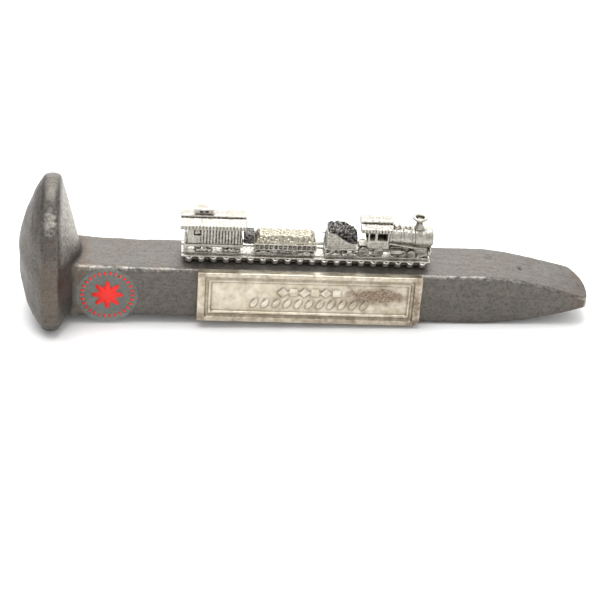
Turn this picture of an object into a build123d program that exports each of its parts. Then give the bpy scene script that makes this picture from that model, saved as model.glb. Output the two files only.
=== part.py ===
from build123d import *

import os
from math import atan2, degrees, sqrt

# A rail spike kept as a souvenir: a small forged spike lying on its side, with a cast
# miniature train stuck along the top of the shank, a framed cast plaque on the front
# and a round clear label beside the head.
#
# Everything is modelled in the spike's own axes, in millimetres: X runs along the
# middle of the shank from the underside of the head (X = 0) to the chisel edge, Y runs
# from the plaque side to the plain side, and Z is up out of the face that carries the
# train. The last lines lay the finished assembly down on a table.

os.makedirs("parts", exist_ok=True)

# ---------------------------------------------------------------- driving dimensions

# Spike
shank_height = 11.9
shank_depth = 12.8
spike_length = 111.4
shank_edge_radius = 0.75
flare_length = 14.0
flare_rise = 0.4
taper_length = 22.4
taper_crown = 0.72
chisel_edge = 1.8
tip_far_setback = 3.2
tip_near_setback = 0.9
tip_nose = -3.0
head_half_width = 12.9
head_top = 23.7
head_drop = 8.1
head_corner_radius = 5.0
head_oval_start = 2.0
head_rim_setback = 3.4
head_rim_width = 3.4
head_rim_bulge = 0.3
head_dome_height = 5.5
head_dome_middle = 5.5
head_cone_apex = 2.8

# Glue under the train and behind the plaque
glue_thickness = 0.15
glue_inset = 1.2

# Plaque
plaque_start = 26.0
plaque_length = 48.2
plaque_height = 12.1
plaque_rise = 0.8
plaque_thickness = 1.8
plaque_band_side = 1.65
plaque_band_top = 1.1
plaque_groove = 0.75
plaque_bead = 0.5
plaque_panel_depth = 0.7
plaque_groove_depth = 0.6
plaque_bead_drop = 0.25
plaque_relief = 0.35
plaque_corner_cut = 1.3
relief_row_height = 2.5
relief_row_gap = 0.35
upper_row_length = 13.9
upper_row_count = 6
lower_row_length = 26.1
lower_row_count = 11

# Round label
label_radius = 6.6
label_thickness = 0.12
label_centre_x = 6.8
label_centre_z = -0.85

# Track
track_start = 22.4
track_length = 53.6
tie_count = 20
tie_pitch = 2.65
tie_width = 1.5
tie_length = 6.8
tie_height = 1.0
bed_width = 6.0
bed_thickness = 0.4
rail_gauge = 3.6
rail_width = 0.45
rail_height = 0.25

# Cars: the gap in front of each one, then its length
caboose_gap = 0.5
caboose_length = 12.6
gondola_gap = 2.4
gondola_length = 13.4
tender_gap = 1.65
tender_length = 7.35
locomotive_gap = 0.3
locomotive_length = 14.8
coupler_width = 0.8
coupler_height = 0.4

# Trucks
truck_wheel_base = 2.4
truck_wheel_width = 0.35
truck_frame_width = 0.4
truck_frame_height = 0.7
truck_bolster_length = 1.1
axle_radius = 0.2
journal_size = 0.5
journal_depth = 0.18

# Caboose
caboose_wheel_radius = 0.8
caboose_deck = 1.85
caboose_sill_height = 0.6
caboose_sill_width = 5.5
caboose_step_length = 0.7
caboose_step_width = 0.7
caboose_step_drop = 1.6
caboose_platform = 0.75
caboose_front_platform = 0.7
caboose_wall_width = 4.9
caboose_wall_height = 3.8
slat_count = 13
slat_width = 0.3
slat_depth = 0.15
caboose_window_length = 1.5
caboose_window_margin = 1.3
caboose_window_height = 1.5
window_depth = 0.35
roof_overhang = 0.9
caboose_front_overhang = 0.6
roof_half_width = 3.2
fascia_height = 0.95
fascia_rib_count = 20
fascia_rib_width = 0.3
roof_rise = 1.15
clerestory_half_width = 1.5
clerestory_height = 0.45
roof_crown = 0.15
cupola_start = 2.4
cupola_length = 3.4
cupola_width = 2.0
cupola_height = 0.95
cupola_roof_overhang = 0.4
cupola_roof_thickness = 0.35
cupola_roof_crown = 0.3
railing_height = 1.9
railing_width = 4.6
railing_bar = 0.3
railing_inset = 0.2

# Gondola
gondola_wheel_radius = 0.45
gondola_deck = 1.0
gondola_frame_height = 0.35
gondola_frame_width = 4.4
gondola_side_height = 1.6
gondola_width = 5.5
gondola_wall = 0.35
gondola_floor = 0.4
gondola_panel_count = 13
gondola_rib_width = 0.3
gondola_panel_depth = 0.15
load_heap = 1.5
load_shoulder = 0.3
load_heap_inset = 0.9
queen_post_drop = 0.6
queen_post_width = 0.4
bulkhead_length = 2.1
bulkhead_width = 3.4
bulkhead_height = 2.2

# Tender
tender_wheel_radius = 0.6
tender_truck_inset = 0.05
tender_deck = 1.75
tender_frame_height = 0.4
tender_width = 5.1
tender_tank_inset = 0.5
tender_tank_width = 4.8
tender_tank_height = 1.0
tender_side_wall = 0.35
tender_side_high = 2.8
tender_side_low = 0.2
coal_peak = 3.15
coal_peak_at = 1.9
coal_shoulder = 2.85
coal_foot = 1.45
coal_clearance = 0.02
brake_wheel_radius = 0.6
brake_wheel_thickness = 0.25
brake_staff_radius = 0.2
brake_staff_height = 2.9

# Locomotive
driver_radius = 1.15
driver_width = 0.4
driver_spacing = 3.2
driver_clearance = 0.1
pilot_wheel_radius = 0.9
pilot_wheel_at = 10.3
pilot_wheel_base = 2.0
engine_frame_width = 2.4
engine_frame_bottom = 0.9
boiler_radius = 2.2
boiler_rise = 1.9
boiler_length = 5.7
band_count = 3
band_width = 0.3
band_height = 0.1
smokebox_radius = 2.35
smokebox_length = 3.6
smokebox_door_radius = 1.8
smokebox_door_thickness = 0.35
stack_setback = 0.8
stack_base_radius = 1.1
stack_neck_radius = 0.7
stack_height = 2.6
stack_dish_height = 0.75
stack_dish_radius = 1.7
stack_bore_radius = 1.0
stack_bore_depth = 0.5
steam_dome_radius = 0.9
steam_dome_height = 0.75
steam_dome_clearance = 0.05
sand_dome_radius = 0.75
sand_dome_height = 0.5
cab_start = 1.6
cab_length = 4.6
cab_side_margin = 0.4
cab_height = 4.1
cab_wall = 0.35
cab_floor = 0.35
cab_window_height = 1.65
cab_window_sill = 2.1
cab_rear_window = 1.1
cab_front_window = 2.1
cab_post = 0.4
cab_roof_overhang = 0.75
cab_rear_overhang = 1.6
cab_eave_overhang = 0.45
cab_roof_rise = 0.6
cab_roof_crown = 0.3
running_board_rise = 1.7
running_board_drop = 1.0
running_board_thickness = 0.3
running_board_width = 1.0
running_board_tuck = 0.35
cylinder_radius = 0.65
cylinder_length = 2.3
cylinder_at = 6.7
cylinder_rise = 0.6
cylinder_seat = 0.15
saddle_rise = 0.3
saddle_clearance = 0.1
side_rod_height = 0.35
side_rod_thickness = 0.2
buffer_beam_length = 0.8
buffer_beam_width = 4.8
cowcatcher_half_width = 2.3
cowcatcher_toe_width = 0.5
cowcatcher_length = 3.0
cowcatcher_setback = 0.2
cowcatcher_slope = 25

# ------------------------------------------------------------- levels and car places

shank_half = shank_height / 2
shank_half_depth = shank_depth / 2
track_bottom = shank_half + glue_thickness
bed_bottom = track_bottom + tie_height
bed_top = bed_bottom + bed_thickness
rail_top = bed_top + rail_height
rail_middle = rail_gauge / 2

caboose_start = track_start + caboose_gap
caboose_end = caboose_start + caboose_length
gondola_start = caboose_end + gondola_gap
gondola_end = gondola_start + gondola_length
tender_start = gondola_end + tender_gap
tender_end = tender_start + tender_length
locomotive_start = tender_end + locomotive_gap
locomotive_end = locomotive_start + locomotive_length

pieces = []


def block(x_range, y_range, z_range, mode=Mode.ADD):
    """Put an upright block that spans three ranges into the part being built."""
    ranges = (x_range, y_range, z_range)
    with Locations(tuple((low + high) / 2 for low, high in ranges)):
        return Box(*(high - low for low, high in ranges), mode=mode)


def disc(x, y_range, z, radius, mode=Mode.ADD):
    """Put a disc whose axis runs along Y into the part being built."""
    low, high = y_range
    middle = Location((x, (low + high) / 2, z), (90, 0, 0))
    with Locations(middle):
        return Cylinder(radius, high - low, mode=mode)


def spread(first, last, count):
    """The middles of a row of equal pieces, from the first to the last."""
    return [first + (last - first) * step / (count - 1) for step in range(count)]


def keep(name, builder):
    """Name a finished piece and add it to the list that is laid down and written."""
    builder.part.label = name
    pieces.append(builder)


# ------------------------------------------------------------------------- the spike


flare_radius = (flare_length**2 + flare_rise**2) / (2 * flare_rise)


def flare_point(x, half, lift=0):
    """A point on the flare's curve, or on a film of that thickness laid over it."""
    reach = flare_radius - lift
    return x, half + flare_radius - sqrt(reach**2 - (flare_length - x) ** 2)


def flare_arc(half, lift=0):
    """The flare's curve, from the underside of the head to the plain shank."""
    places = (0, flare_length / 2, flare_length)
    return ThreePointArc(*(flare_point(x, half, lift) for x in places))


def shank_outline(half):
    """Half of the shank's outline, from inside the head to the end of the flare."""
    buried = (-head_rim_setback, half + flare_rise)
    Line((-head_rim_setback, 0), buried)
    Line(buried, flare_point(0, half))
    return flare_arc(half) @ 1


def head_section(x, share):
    """A slice through the head: a tall oval with a flattened, square-cornered foot."""
    half_width = head_half_width * share
    top = head_dome_middle + (head_top - head_dome_middle) * share
    foot = head_dome_middle - (head_dome_middle + head_drop) * share
    corner = head_corner_radius * share
    oval_start = head_dome_middle + (head_oval_start - head_dome_middle) * share
    with BuildSketch(Plane.YZ.offset(x)) as section:
        with BuildLine():
            bottom = Line((0, foot), (half_width - corner, foot))
            bend = TangentArc(bottom @ 1, (half_width, foot + corner), tangent=bottom % 1)
            side = Line(bend @ 1, (half_width, oval_start))
            EllipticalCenterArc((0, oval_start), half_width, top - oval_start, arc_size=90)
            mirror(about=Plane.YZ)
        make_face()
    return section.sketch.face()


rim_near = -head_rim_setback
rim_far = rim_near - head_rim_width
dome_apex = rim_far - head_dome_height
bulge_share = 1 + head_rim_bulge / head_half_width

# The dome is a slice of a sphere across the foot-to-lip width of the rim.
rim_half_height = (head_top + head_drop) / 2
dome_radius = (rim_half_height**2 + head_dome_height**2) / (2 * head_dome_height)


def dome_share(depth):
    """The dome's width as a share of the rim's, at a depth below its highest point."""
    return sqrt(2 * dome_radius * depth - depth**2) / rim_half_height


rim = [
    head_section(rim_near, 1.0),
    head_section((rim_near + rim_far) / 2, bulge_share),
    head_section(rim_far, 1.0),
]
depths = [head_dome_height * share for share in (0.6, 0.3, 0.1, 0.02)]
dome = [head_section(dome_apex + depth, dome_share(depth)) for depth in depths]

heel_x = spike_length - taper_length

with BuildPart() as spike:
    with BuildSketch(Plane.XZ):
        with BuildLine():
            flare_end = shank_outline(shank_half)
            taper_start = (heel_x, shank_half)
            taper_end = (spike_length, chisel_edge / 2)
            Line(flare_end, taper_start)
            SagittaArc(taper_start, taper_end, taper_crown)
            Line(taper_end, (spike_length, 0))
            mirror(about=Plane.XZ)
        make_face()
    extrude(amount=2 * shank_depth, both=True)
    with BuildSketch(Plane.XY):
        with BuildLine():
            flare_end = shank_outline(shank_half_depth)
            Line(flare_end, (heel_x, shank_half_depth))
            Line((heel_x, shank_half_depth), (heel_x, 0))
            mirror(about=Plane.XZ)
        make_face()
        with BuildLine():
            far_corner = (spike_length - tip_far_setback, shank_half_depth)
            near_corner = (spike_length - tip_near_setback, -shank_half_depth)
            ThreePointArc(near_corner, (spike_length, tip_nose), far_corner)
            Polyline(
                far_corner,
                (heel_x, shank_half_depth),
                (heel_x, -shank_half_depth),
                near_corner,
            )
        make_face()
    extrude(amount=2 * shank_height, both=True, mode=Mode.INTERSECT)
    boxes = [(edge, edge.bounding_box().size) for edge in spike.edges()]
    fillet([edge for edge, size in boxes if size.X > size.Y], shank_edge_radius)

    loft(sections=[rim[-1], *dome])
    loft(sections=rim)
    loft(sections=[rim[0], Vertex(head_cone_apex, 0, 0)], ruled=True)
keep("spike", spike)

# ------------------------------------------------------------------ plaque and label

face_y = -shank_half_depth
plaque_back = face_y - glue_thickness
plaque_front = plaque_back - plaque_thickness
plaque_end = plaque_start + plaque_length
plaque_top = plaque_height / 2 + plaque_rise / 2
plaque_bottom = plaque_top - plaque_height
plaque_middle = (plaque_start + plaque_end) / 2, (plaque_top + plaque_bottom) / 2


def plaque_frame(side_inset, top_inset):
    """The sizes of a rectangle that stays inside the plaque's outline all round."""
    return plaque_length - 2 * side_inset, plaque_height - 2 * top_inset


with BuildPart() as plaque_glue:
    flat_half = shank_half - shank_edge_radius
    block(
        (plaque_start + glue_inset, plaque_end - glue_inset),
        (plaque_back, face_y),
        (-flat_half, flat_half),
    )
keep("plaque_glue", plaque_glue)

with BuildPart() as plaque:
    front_plane = Plane.XZ.offset(-plaque_front)
    with BuildSketch(Plane.XZ.offset(-plaque_back)):
        with Locations(plaque_middle):
            Rectangle(*plaque_frame(0, 0))
    extrude(amount=plaque_thickness)
    right_foot = plaque.edges().filter_by(Axis.Y).group_by(Axis.X)[-1].sort_by(Axis.Z)[0]
    chamfer(right_foot, plaque_corner_cut)
    with BuildSketch(front_plane):
        with Locations(plaque_middle):
            Rectangle(*plaque_frame(plaque_band_side, plaque_band_top))
    extrude(amount=-plaque_groove_depth, mode=Mode.SUBTRACT)
    bead_side = plaque_band_side + plaque_groove
    bead_top = plaque_band_top + plaque_groove
    with BuildSketch(front_plane.offset(-plaque_panel_depth)):
        with Locations(plaque_middle):
            Rectangle(*plaque_frame(bead_side, bead_top))
            Rectangle(
                *plaque_frame(bead_side + plaque_bead, bead_top + plaque_bead),
                mode=Mode.SUBTRACT,
            )
    extrude(amount=plaque_panel_depth - plaque_bead_drop)
    with BuildSketch(front_plane.offset(-plaque_groove_depth)):
        with Locations(plaque_middle):
            Rectangle(*plaque_frame(bead_side + plaque_bead, bead_top + plaque_bead))
    extrude(amount=plaque_groove_depth - plaque_panel_depth, mode=Mode.SUBTRACT)
    panel_plane = front_plane.offset(-plaque_panel_depth)
    row_rise = (relief_row_height + relief_row_gap) / 2
    middle_x, middle_z = plaque_middle
    with BuildSketch(panel_plane):
        upper_pitch = upper_row_length / upper_row_count
        upper_first = middle_x - (upper_row_length - upper_pitch) / 2
        for step in range(upper_row_count):
            with Locations((upper_first + step * upper_pitch, middle_z + row_rise)):
                RegularPolygon(relief_row_height / 2, 4, rotation=45 * (step % 2))
        lower_pitch = lower_row_length / lower_row_count
        lower_first = middle_x - (lower_row_length - lower_pitch) / 2
        for step in range(lower_row_count):
            with Locations((lower_first + step * lower_pitch, middle_z - row_rise)):
                Ellipse(relief_row_height / 2, relief_row_height / 4, rotation=60)
    extrude(amount=plaque_relief)
keep("plaque", plaque)

with BuildPart() as round_label:
    label_far = label_centre_x + 2 * label_radius
    with BuildSketch(Plane.XY):
        with BuildLine():
            back = flare_arc(shank_half_depth)
            front = flare_arc(shank_half_depth, label_thickness)
            Line(back @ 0, front @ 0)
            Polyline(
                back @ 1,
                (label_far, shank_half_depth),
                (label_far, shank_half_depth + label_thickness),
                front @ 1,
            )
        make_face()
        mirror(about=Plane.XZ, mode=Mode.REPLACE)
    extrude(amount=2 * shank_height, both=True)
    middle = Location((label_centre_x, face_y, label_centre_z), (90, 0, 0))
    with Locations(middle):
        Cylinder(label_radius, shank_depth, mode=Mode.INTERSECT)
keep("round_label", round_label)

# ------------------------------------------------------------------------- the track

track_end = track_start + track_length

with BuildPart() as train_glue:
    block(
        (track_start + glue_inset, track_end - glue_inset),
        (glue_inset - bed_width / 2, bed_width / 2 - glue_inset),
        (shank_half, track_bottom),
    )
keep("train_glue", train_glue)

with BuildPart() as track_base:
    block((track_start, track_end), (-bed_width / 2, bed_width / 2), (bed_bottom, bed_top))
    ties_reach = (tie_count - 1) * tie_pitch
    first_tie = (track_start + track_end - ties_reach) / 2
    with BuildSketch(Plane.XY.offset(track_bottom)):
        with Locations(*((x, 0) for x in spread(first_tie, first_tie + ties_reach, tie_count))):
            SlotOverall(tie_length, tie_width, rotation=90)
    extrude(amount=tie_height)
keep("track_base", track_base)

for name, side in (("rail_near", -1), ("rail_far", 1)):
    with BuildPart() as rail:
        middle = side * rail_middle
        block(
            (track_start, track_end),
            (middle - rail_width / 2, middle + rail_width / 2),
            (bed_top, rail_top),
        )
    keep(name, rail)


def add_truck(name, centre_x, wheel_radius, deck):
    """A four-wheel truck in one casting, from the rails up to the car's underside."""
    axle_z = rail_top + wheel_radius
    wheel_outer = rail_middle + truck_wheel_width / 2
    frame_outer = wheel_outer + truck_frame_width
    half_base = truck_wheel_base / 2
    half_height = truck_frame_height / 2
    with BuildPart() as truck:
        for x in (centre_x - half_base, centre_x + half_base):
            disc(x, (-wheel_outer, wheel_outer), axle_z, axle_radius)
            for side in (-1, 1):
                rim = sorted((side * (wheel_outer - truck_wheel_width), side * wheel_outer))
                disc(x, rim, axle_z, wheel_radius)
                box_faces = sorted((side * frame_outer, side * (frame_outer + journal_depth)))
                half = journal_size / 2
                block((x - half, x + half), box_faces, (axle_z - half, axle_z + half))
        for side in (-1, 1):
            frame_faces = sorted((side * wheel_outer, side * frame_outer))
            reach = half_base + journal_size
            x_range = (centre_x - reach, centre_x + reach)
            block(x_range, frame_faces, (axle_z - half_height, axle_z + half_height))
        half_bolster = truck_bolster_length / 2
        bolster_range = (centre_x - half_bolster, centre_x + half_bolster)
        bolster_foot = axle_z - half_height
        block(bolster_range, (-frame_outer, frame_outer), (bolster_foot, rail_top + deck))
    keep(name, truck)


def add_coupler(name, x_range, middle_z):
    """A plain drawbar between two cars, flush against both of them."""
    z_range = (middle_z - coupler_height / 2, middle_z + coupler_height / 2)
    with BuildPart() as coupler:
        block(x_range, (-coupler_width / 2, coupler_width / 2), z_range)
    keep(name, coupler)


# ----------------------------------------------------------------------- the caboose

caboose_bottom = rail_top + caboose_deck
caboose_floor = caboose_bottom + caboose_sill_height
caboose_eave = caboose_floor + caboose_wall_height
caboose_wall_start = caboose_start + caboose_platform
caboose_wall_end = caboose_end - caboose_front_platform
caboose_wall_half = caboose_wall_width / 2
truck_setback = truck_wheel_base / 2 + journal_size + caboose_step_length

add_truck("caboose_truck_rear", caboose_start + caboose_length / 3, caboose_wheel_radius, caboose_deck)
add_truck("caboose_truck_front", caboose_end - truck_setback, caboose_wheel_radius, caboose_deck)

with BuildPart() as caboose_frame:
    half_sill = caboose_sill_width / 2
    block((caboose_start, caboose_end), (-half_sill, half_sill), (caboose_bottom, caboose_floor))
    for side in (-1, 1):
        step_faces = sorted((side * half_sill, side * (half_sill - caboose_step_width)))
        block(
            (caboose_start, caboose_start + caboose_step_length),
            step_faces,
            (caboose_bottom - caboose_step_drop, caboose_bottom),
        )
keep("caboose_frame", caboose_frame)

with BuildPart() as caboose_body:
    block(
        (caboose_wall_start, caboose_wall_end),
        (-caboose_wall_half, caboose_wall_half),
        (caboose_floor, caboose_eave),
    )
    window_start = caboose_wall_start + caboose_window_margin
    window_end = window_start + caboose_window_length
    window_top = caboose_eave - slat_width
    window_bottom = window_top - caboose_window_height
    for side in (-1, 1):
        glass = sorted((side * caboose_wall_half, side * (caboose_wall_half - window_depth)))
        block((window_start, window_end), glass, (window_bottom, window_top), Mode.SUBTRACT)
        outer = sorted((side * caboose_wall_half, side * (caboose_wall_half + slat_depth)))
        first_slat = window_end + slat_width
        last_slat = caboose_wall_end - slat_width / 2
        for x in spread(first_slat, last_slat, slat_count):
            slat_range = (x - slat_width / 2, x + slat_width / 2)
            block(slat_range, outer, (caboose_floor, caboose_eave))
keep("caboose_body", caboose_body)


def roof_points(eave_z, half_width, rise, crown):
    """The corners of a roof's cross-section, which has a raised middle."""
    fascia_top = eave_z + fascia_height
    shoulder = fascia_top + rise
    deck = shoulder + clerestory_height
    half_step = clerestory_half_width
    near_side = [
        (half_width, eave_z),
        (half_width, fascia_top),
        (half_step, shoulder),
        (half_step, deck),
        (half_step * 2 / 3, deck + crown),
    ]
    return near_side + [(-y, z) for y, z in reversed(near_side)]


def add_roof_ribs(x_range, half_width, eave_z, count):
    """A row of upright ribs along both edges of a roof."""
    start, end = x_range
    for x in spread(start + fascia_rib_width / 2, end - fascia_rib_width / 2, count):
        for side in (-1, 1):
            rib_faces = sorted((side * half_width, side * (half_width + slat_depth)))
            rib_range = (x - fascia_rib_width / 2, x + fascia_rib_width / 2)
            block(rib_range, rib_faces, (eave_z, eave_z + fascia_height))


caboose_roof_points = roof_points(caboose_eave, roof_half_width, roof_rise, roof_crown)

with BuildPart() as caboose_roof:
    roof_range = (caboose_start - roof_overhang, caboose_end + caboose_front_overhang)
    with BuildSketch(Plane.YZ.offset(roof_range[0])):
        with BuildLine():
            Polyline(*caboose_roof_points, close=True)
        make_face()
    extrude(amount=roof_range[1] - roof_range[0])
    add_roof_ribs(roof_range, roof_half_width, caboose_eave, fascia_rib_count)
keep("caboose_roof", caboose_roof)

caboose_deck_z = max(z for y, z in caboose_roof_points)
cupola_range = (caboose_start + cupola_start, caboose_start + cupola_start + cupola_length)
cupola_top = caboose_deck_z + cupola_height

with BuildPart() as caboose_cupola:
    half_cupola = cupola_width / 2
    block(cupola_range, (-half_cupola, half_cupola), (caboose_deck_z, cupola_top))
    cupola_middle = sum(cupola_range) / 2
    cupola_pane = cupola_length / 3
    for side in (-1, 1):
        pane_faces = sorted((side * half_cupola, side * (half_cupola - slat_depth)))
        pane_rise = (caboose_deck_z + cupola_height / 4, cupola_top - cupola_height / 4)
        for x in (cupola_middle - cupola_pane / 2, cupola_middle + cupola_pane / 2):
            pane_range = (x - cupola_pane / 3, x + cupola_pane / 3)
            block(pane_range, pane_faces, pane_rise, Mode.SUBTRACT)
keep("caboose_cupola", caboose_cupola)

with BuildPart() as caboose_cupola_roof:
    lid_start = cupola_range[0] - cupola_roof_overhang
    lid_half = cupola_width / 2 + cupola_roof_overhang
    lid_top = cupola_top + cupola_roof_thickness
    with BuildSketch(Plane.YZ.offset(lid_start)):
        with BuildLine():
            Polyline(
                (-lid_half, lid_top),
                (-lid_half, cupola_top),
                (lid_half, cupola_top),
                (lid_half, lid_top),
            )
            ThreePointArc((lid_half, lid_top), (0, lid_top + cupola_roof_crown), (-lid_half, lid_top))
        make_face()
    extrude(amount=cupola_length + 2 * cupola_roof_overhang)
keep("caboose_cupola_roof", caboose_cupola_roof)

railing_places = (
    ("caboose_railing_rear", caboose_start + railing_inset),
    ("caboose_railing_front", caboose_end - railing_inset - railing_bar),
)
for name, railing_x in railing_places:
    with BuildPart() as railing:
        railing_top = caboose_floor + railing_height
        with BuildSketch(Plane.YZ.offset(railing_x)):
            with Locations((0, (caboose_floor + railing_top) / 2)):
                Rectangle(railing_width, railing_height)
            opening = (railing_width - 3 * railing_bar) / 2
            for side in (-1, 1):
                post_y = side * (opening + railing_bar) / 2
                with Locations((post_y, caboose_floor + railing_height / 2)):
                    RectangleRounded(
                        opening,
                        railing_height - 2 * railing_bar,
                        railing_bar,
                        mode=Mode.SUBTRACT,
                    )
        extrude(amount=railing_bar)
        top_corners = railing.edges().filter_by(Axis.X).group_by(Axis.Z)[-1]
        fillet(top_corners, railing_bar * 1.5)
    keep(name, railing)

# ----------------------------------------------------------------------- the gondola

gondola_bottom = rail_top + gondola_deck
gondola_tub_bottom = gondola_bottom + gondola_frame_height
gondola_tub_top = gondola_tub_bottom + gondola_side_height
gondola_half = gondola_width / 2
gondola_truck_setback = truck_wheel_base / 2 + journal_size + gondola_wall

rear_coupler_z = caboose_bottom + coupler_height / 2
add_coupler("coupler_rear", (caboose_end, gondola_start), rear_coupler_z)
add_truck(
    "gondola_truck_rear",
    gondola_start + gondola_truck_setback,
    gondola_wheel_radius,
    gondola_deck,
)
add_truck(
    "gondola_truck_front",
    gondola_end - gondola_truck_setback,
    gondola_wheel_radius,
    gondola_deck,
)

with BuildPart() as gondola_frame:
    half_frame = gondola_frame_width / 2
    frame_range = (gondola_start + gondola_wall, gondola_end - gondola_wall)
    block(frame_range, (-half_frame, half_frame), (gondola_bottom, gondola_tub_bottom))
    gondola_middle = (gondola_start + gondola_end) / 2
    for side in (-1, 1):
        post_faces = sorted((side * half_frame, side * (half_frame - queen_post_width)))
        for x in (gondola_middle - truck_wheel_base / 2, gondola_middle + truck_wheel_base / 2):
            post_range = (x - queen_post_width / 2, x + queen_post_width / 2)
            block(post_range, post_faces, (gondola_bottom - queen_post_drop, gondola_bottom))
        rod_reach = truck_wheel_base / 2 + queen_post_width
        rod_range = (gondola_middle - rod_reach, gondola_middle + rod_reach)
        rod_bottom = gondola_bottom - queen_post_drop - queen_post_width / 2
        block(rod_range, post_faces, (rod_bottom, gondola_bottom - queen_post_drop))
keep("gondola_frame", gondola_frame)

inside_half = gondola_half - gondola_wall
inside_range = (gondola_start + gondola_wall, gondola_end - gondola_wall)
inside_floor = gondola_tub_bottom + gondola_floor

with BuildPart() as gondola_body:
    tub_rise = (gondola_tub_bottom, gondola_tub_top)
    block((gondola_start, gondola_end), (-gondola_half, gondola_half), tub_rise)
    block(inside_range, (-inside_half, inside_half), (inside_floor, gondola_tub_top), Mode.SUBTRACT)
    panel_pitch = (gondola_length - gondola_rib_width) / gondola_panel_count
    panel_half = (panel_pitch - gondola_rib_width) / 2
    panel_rise = (gondola_tub_bottom + gondola_rib_width, gondola_tub_top - gondola_rib_width)
    for step in range(gondola_panel_count):
        x = gondola_start + gondola_rib_width / 2 + panel_pitch * (step + 0.5)
        for side in (-1, 1):
            recess = sorted((side * gondola_half, side * (gondola_half - gondola_panel_depth)))
            block((x - panel_half, x + panel_half), recess, panel_rise, Mode.SUBTRACT)
keep("gondola_body", gondola_body)

with BuildPart() as gondola_load:
    load_length = inside_range[1] - inside_range[0]
    load_middle = (inside_range[0] + inside_range[1]) / 2
    with BuildSketch(Plane.XY.offset(inside_floor)):
        with Locations((load_middle, 0)):
            Rectangle(load_length, 2 * inside_half)
    extrude(amount=gondola_tub_top + load_shoulder - inside_floor)
    for height, inset in ((load_shoulder, 0), (load_heap, load_heap_inset)):
        with BuildSketch(Plane.XY.offset(gondola_tub_top + height)):
            with Locations((load_middle, 0)):
                Rectangle(load_length - 2 * inset, 2 * (inside_half - inset))
    loft(ruled=True)
keep("gondola_load", gondola_load)

with BuildPart() as gondola_end_block:
    bulkhead_foot = caboose_bottom + coupler_height
    block(
        (gondola_start - bulkhead_length, gondola_start),
        (-bulkhead_width / 2, bulkhead_width / 2),
        (bulkhead_foot, bulkhead_foot + bulkhead_height),
    )
keep("gondola_end_block", gondola_end_block)

# ------------------------------------------------------------------------ the tender

tender_bottom = rail_top + tender_deck
tender_floor = tender_bottom + tender_frame_height
tank_range = (tender_start + tender_tank_inset, tender_end - tender_tank_inset)
tank_half = tender_tank_width / 2
tank_top = tender_floor + tender_tank_height
coal_half = tank_half - tender_side_wall
tender_truck_setback = truck_wheel_base / 2 + tender_wheel_radius + tender_truck_inset

add_coupler("coupler_middle", (gondola_end, tender_start), tender_bottom + coupler_height / 2)
add_truck(
    "tender_truck_rear",
    tender_start + tender_truck_setback,
    tender_wheel_radius,
    tender_deck,
)
add_truck(
    "tender_truck_front",
    tender_end - tender_truck_setback,
    tender_wheel_radius,
    tender_deck,
)

with BuildPart() as tender_frame:
    tender_half = tender_width / 2
    block((tender_start, tender_end), (-tender_half, tender_half), (tender_bottom, tender_floor))
keep("tender_frame", tender_frame)

with BuildPart() as tender_tank:
    with BuildSketch(Plane.XZ):
        with BuildLine():
            rear, front = tank_range
            high = (rear, tank_top + tender_side_high)
            low = (front, tank_top + tender_side_low)
            Polyline(high, (rear, tender_floor), (front, tender_floor), low)
            Spline(high, low, tangents=((1, 0), (1, 0)))
        make_face()
    extrude(amount=tank_half, both=True)
    with BuildSketch(Plane.XY.offset(tank_top)):
        with Locations(((rear + front) / 2 + tender_side_wall, 0)):
            Rectangle(front - rear, 2 * coal_half)
    extrude(amount=tender_side_high, mode=Mode.SUBTRACT)
keep("tender_tank", tender_tank)

with BuildPart() as tender_coal:
    with BuildSketch(Plane.XZ):
        with BuildLine():
            coal_rear = rear + tender_side_wall
            shoulder = (coal_rear, tank_top + coal_shoulder)
            peak = (rear + coal_peak_at, tank_top + coal_peak)
            foot = (front, tank_top + coal_foot)
            Polyline(shoulder, (coal_rear, tank_top), (front, tank_top), foot)
            Spline(shoulder, peak, foot)
        make_face()
    extrude(amount=coal_half - coal_clearance, both=True)
keep("tender_coal", tender_coal)

with BuildPart() as tender_brake_wheel:
    brake_x = tender_start + brake_staff_radius + (tender_tank_inset - 2 * brake_staff_radius) / 2
    brake_top = tender_floor + brake_staff_height
    with BuildSketch(Plane.XY.offset(tender_floor)):
        with Locations((brake_x, 0)):
            Circle(brake_staff_radius)
    extrude(amount=brake_staff_height)
    with BuildSketch(Plane.XY.offset(brake_top)):
        with Locations((rear - brake_wheel_radius - coal_clearance, 0)):
            Circle(brake_wheel_radius)
    extrude(amount=-brake_wheel_thickness)
keep("tender_brake_wheel", tender_brake_wheel)

# -------------------------------------------------------------------- the locomotive

engine_bottom = rail_top + engine_frame_bottom
engine_deck = rail_top + 2 * driver_radius + driver_clearance
engine_half = engine_frame_width / 2
boiler_z = engine_deck + boiler_rise
rear_driver_x = tender_end + driver_clearance + driver_radius
front_driver_x = rear_driver_x + driver_spacing
driver_z = rail_top + driver_radius
driver_outer = rail_middle + driver_width / 2
pilot_axle_z = rail_top + pilot_wheel_radius
pilot_middle_x = locomotive_start + pilot_wheel_at
cab_range = (locomotive_start + cab_start, locomotive_start + cab_start + cab_length)
boiler_range = (cab_range[1], cab_range[1] + boiler_length)
smokebox_range = (boiler_range[1], boiler_range[1] + smokebox_length)
cab_half = boiler_radius + cab_side_margin
cab_bottom = engine_deck
cab_eave = cab_bottom + cab_height
cylinder_range = (
    locomotive_start + cylinder_at,
    locomotive_start + cylinder_at + cylinder_length,
)
cylinder_z = driver_z + cylinder_rise
board_range = (cab_range[1], smokebox_range[0] + running_board_width)
board_z = engine_deck + running_board_rise
saddle_top = engine_deck + saddle_rise
saddle_bottom = rail_top + 2 * pilot_wheel_radius + saddle_clearance
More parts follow.
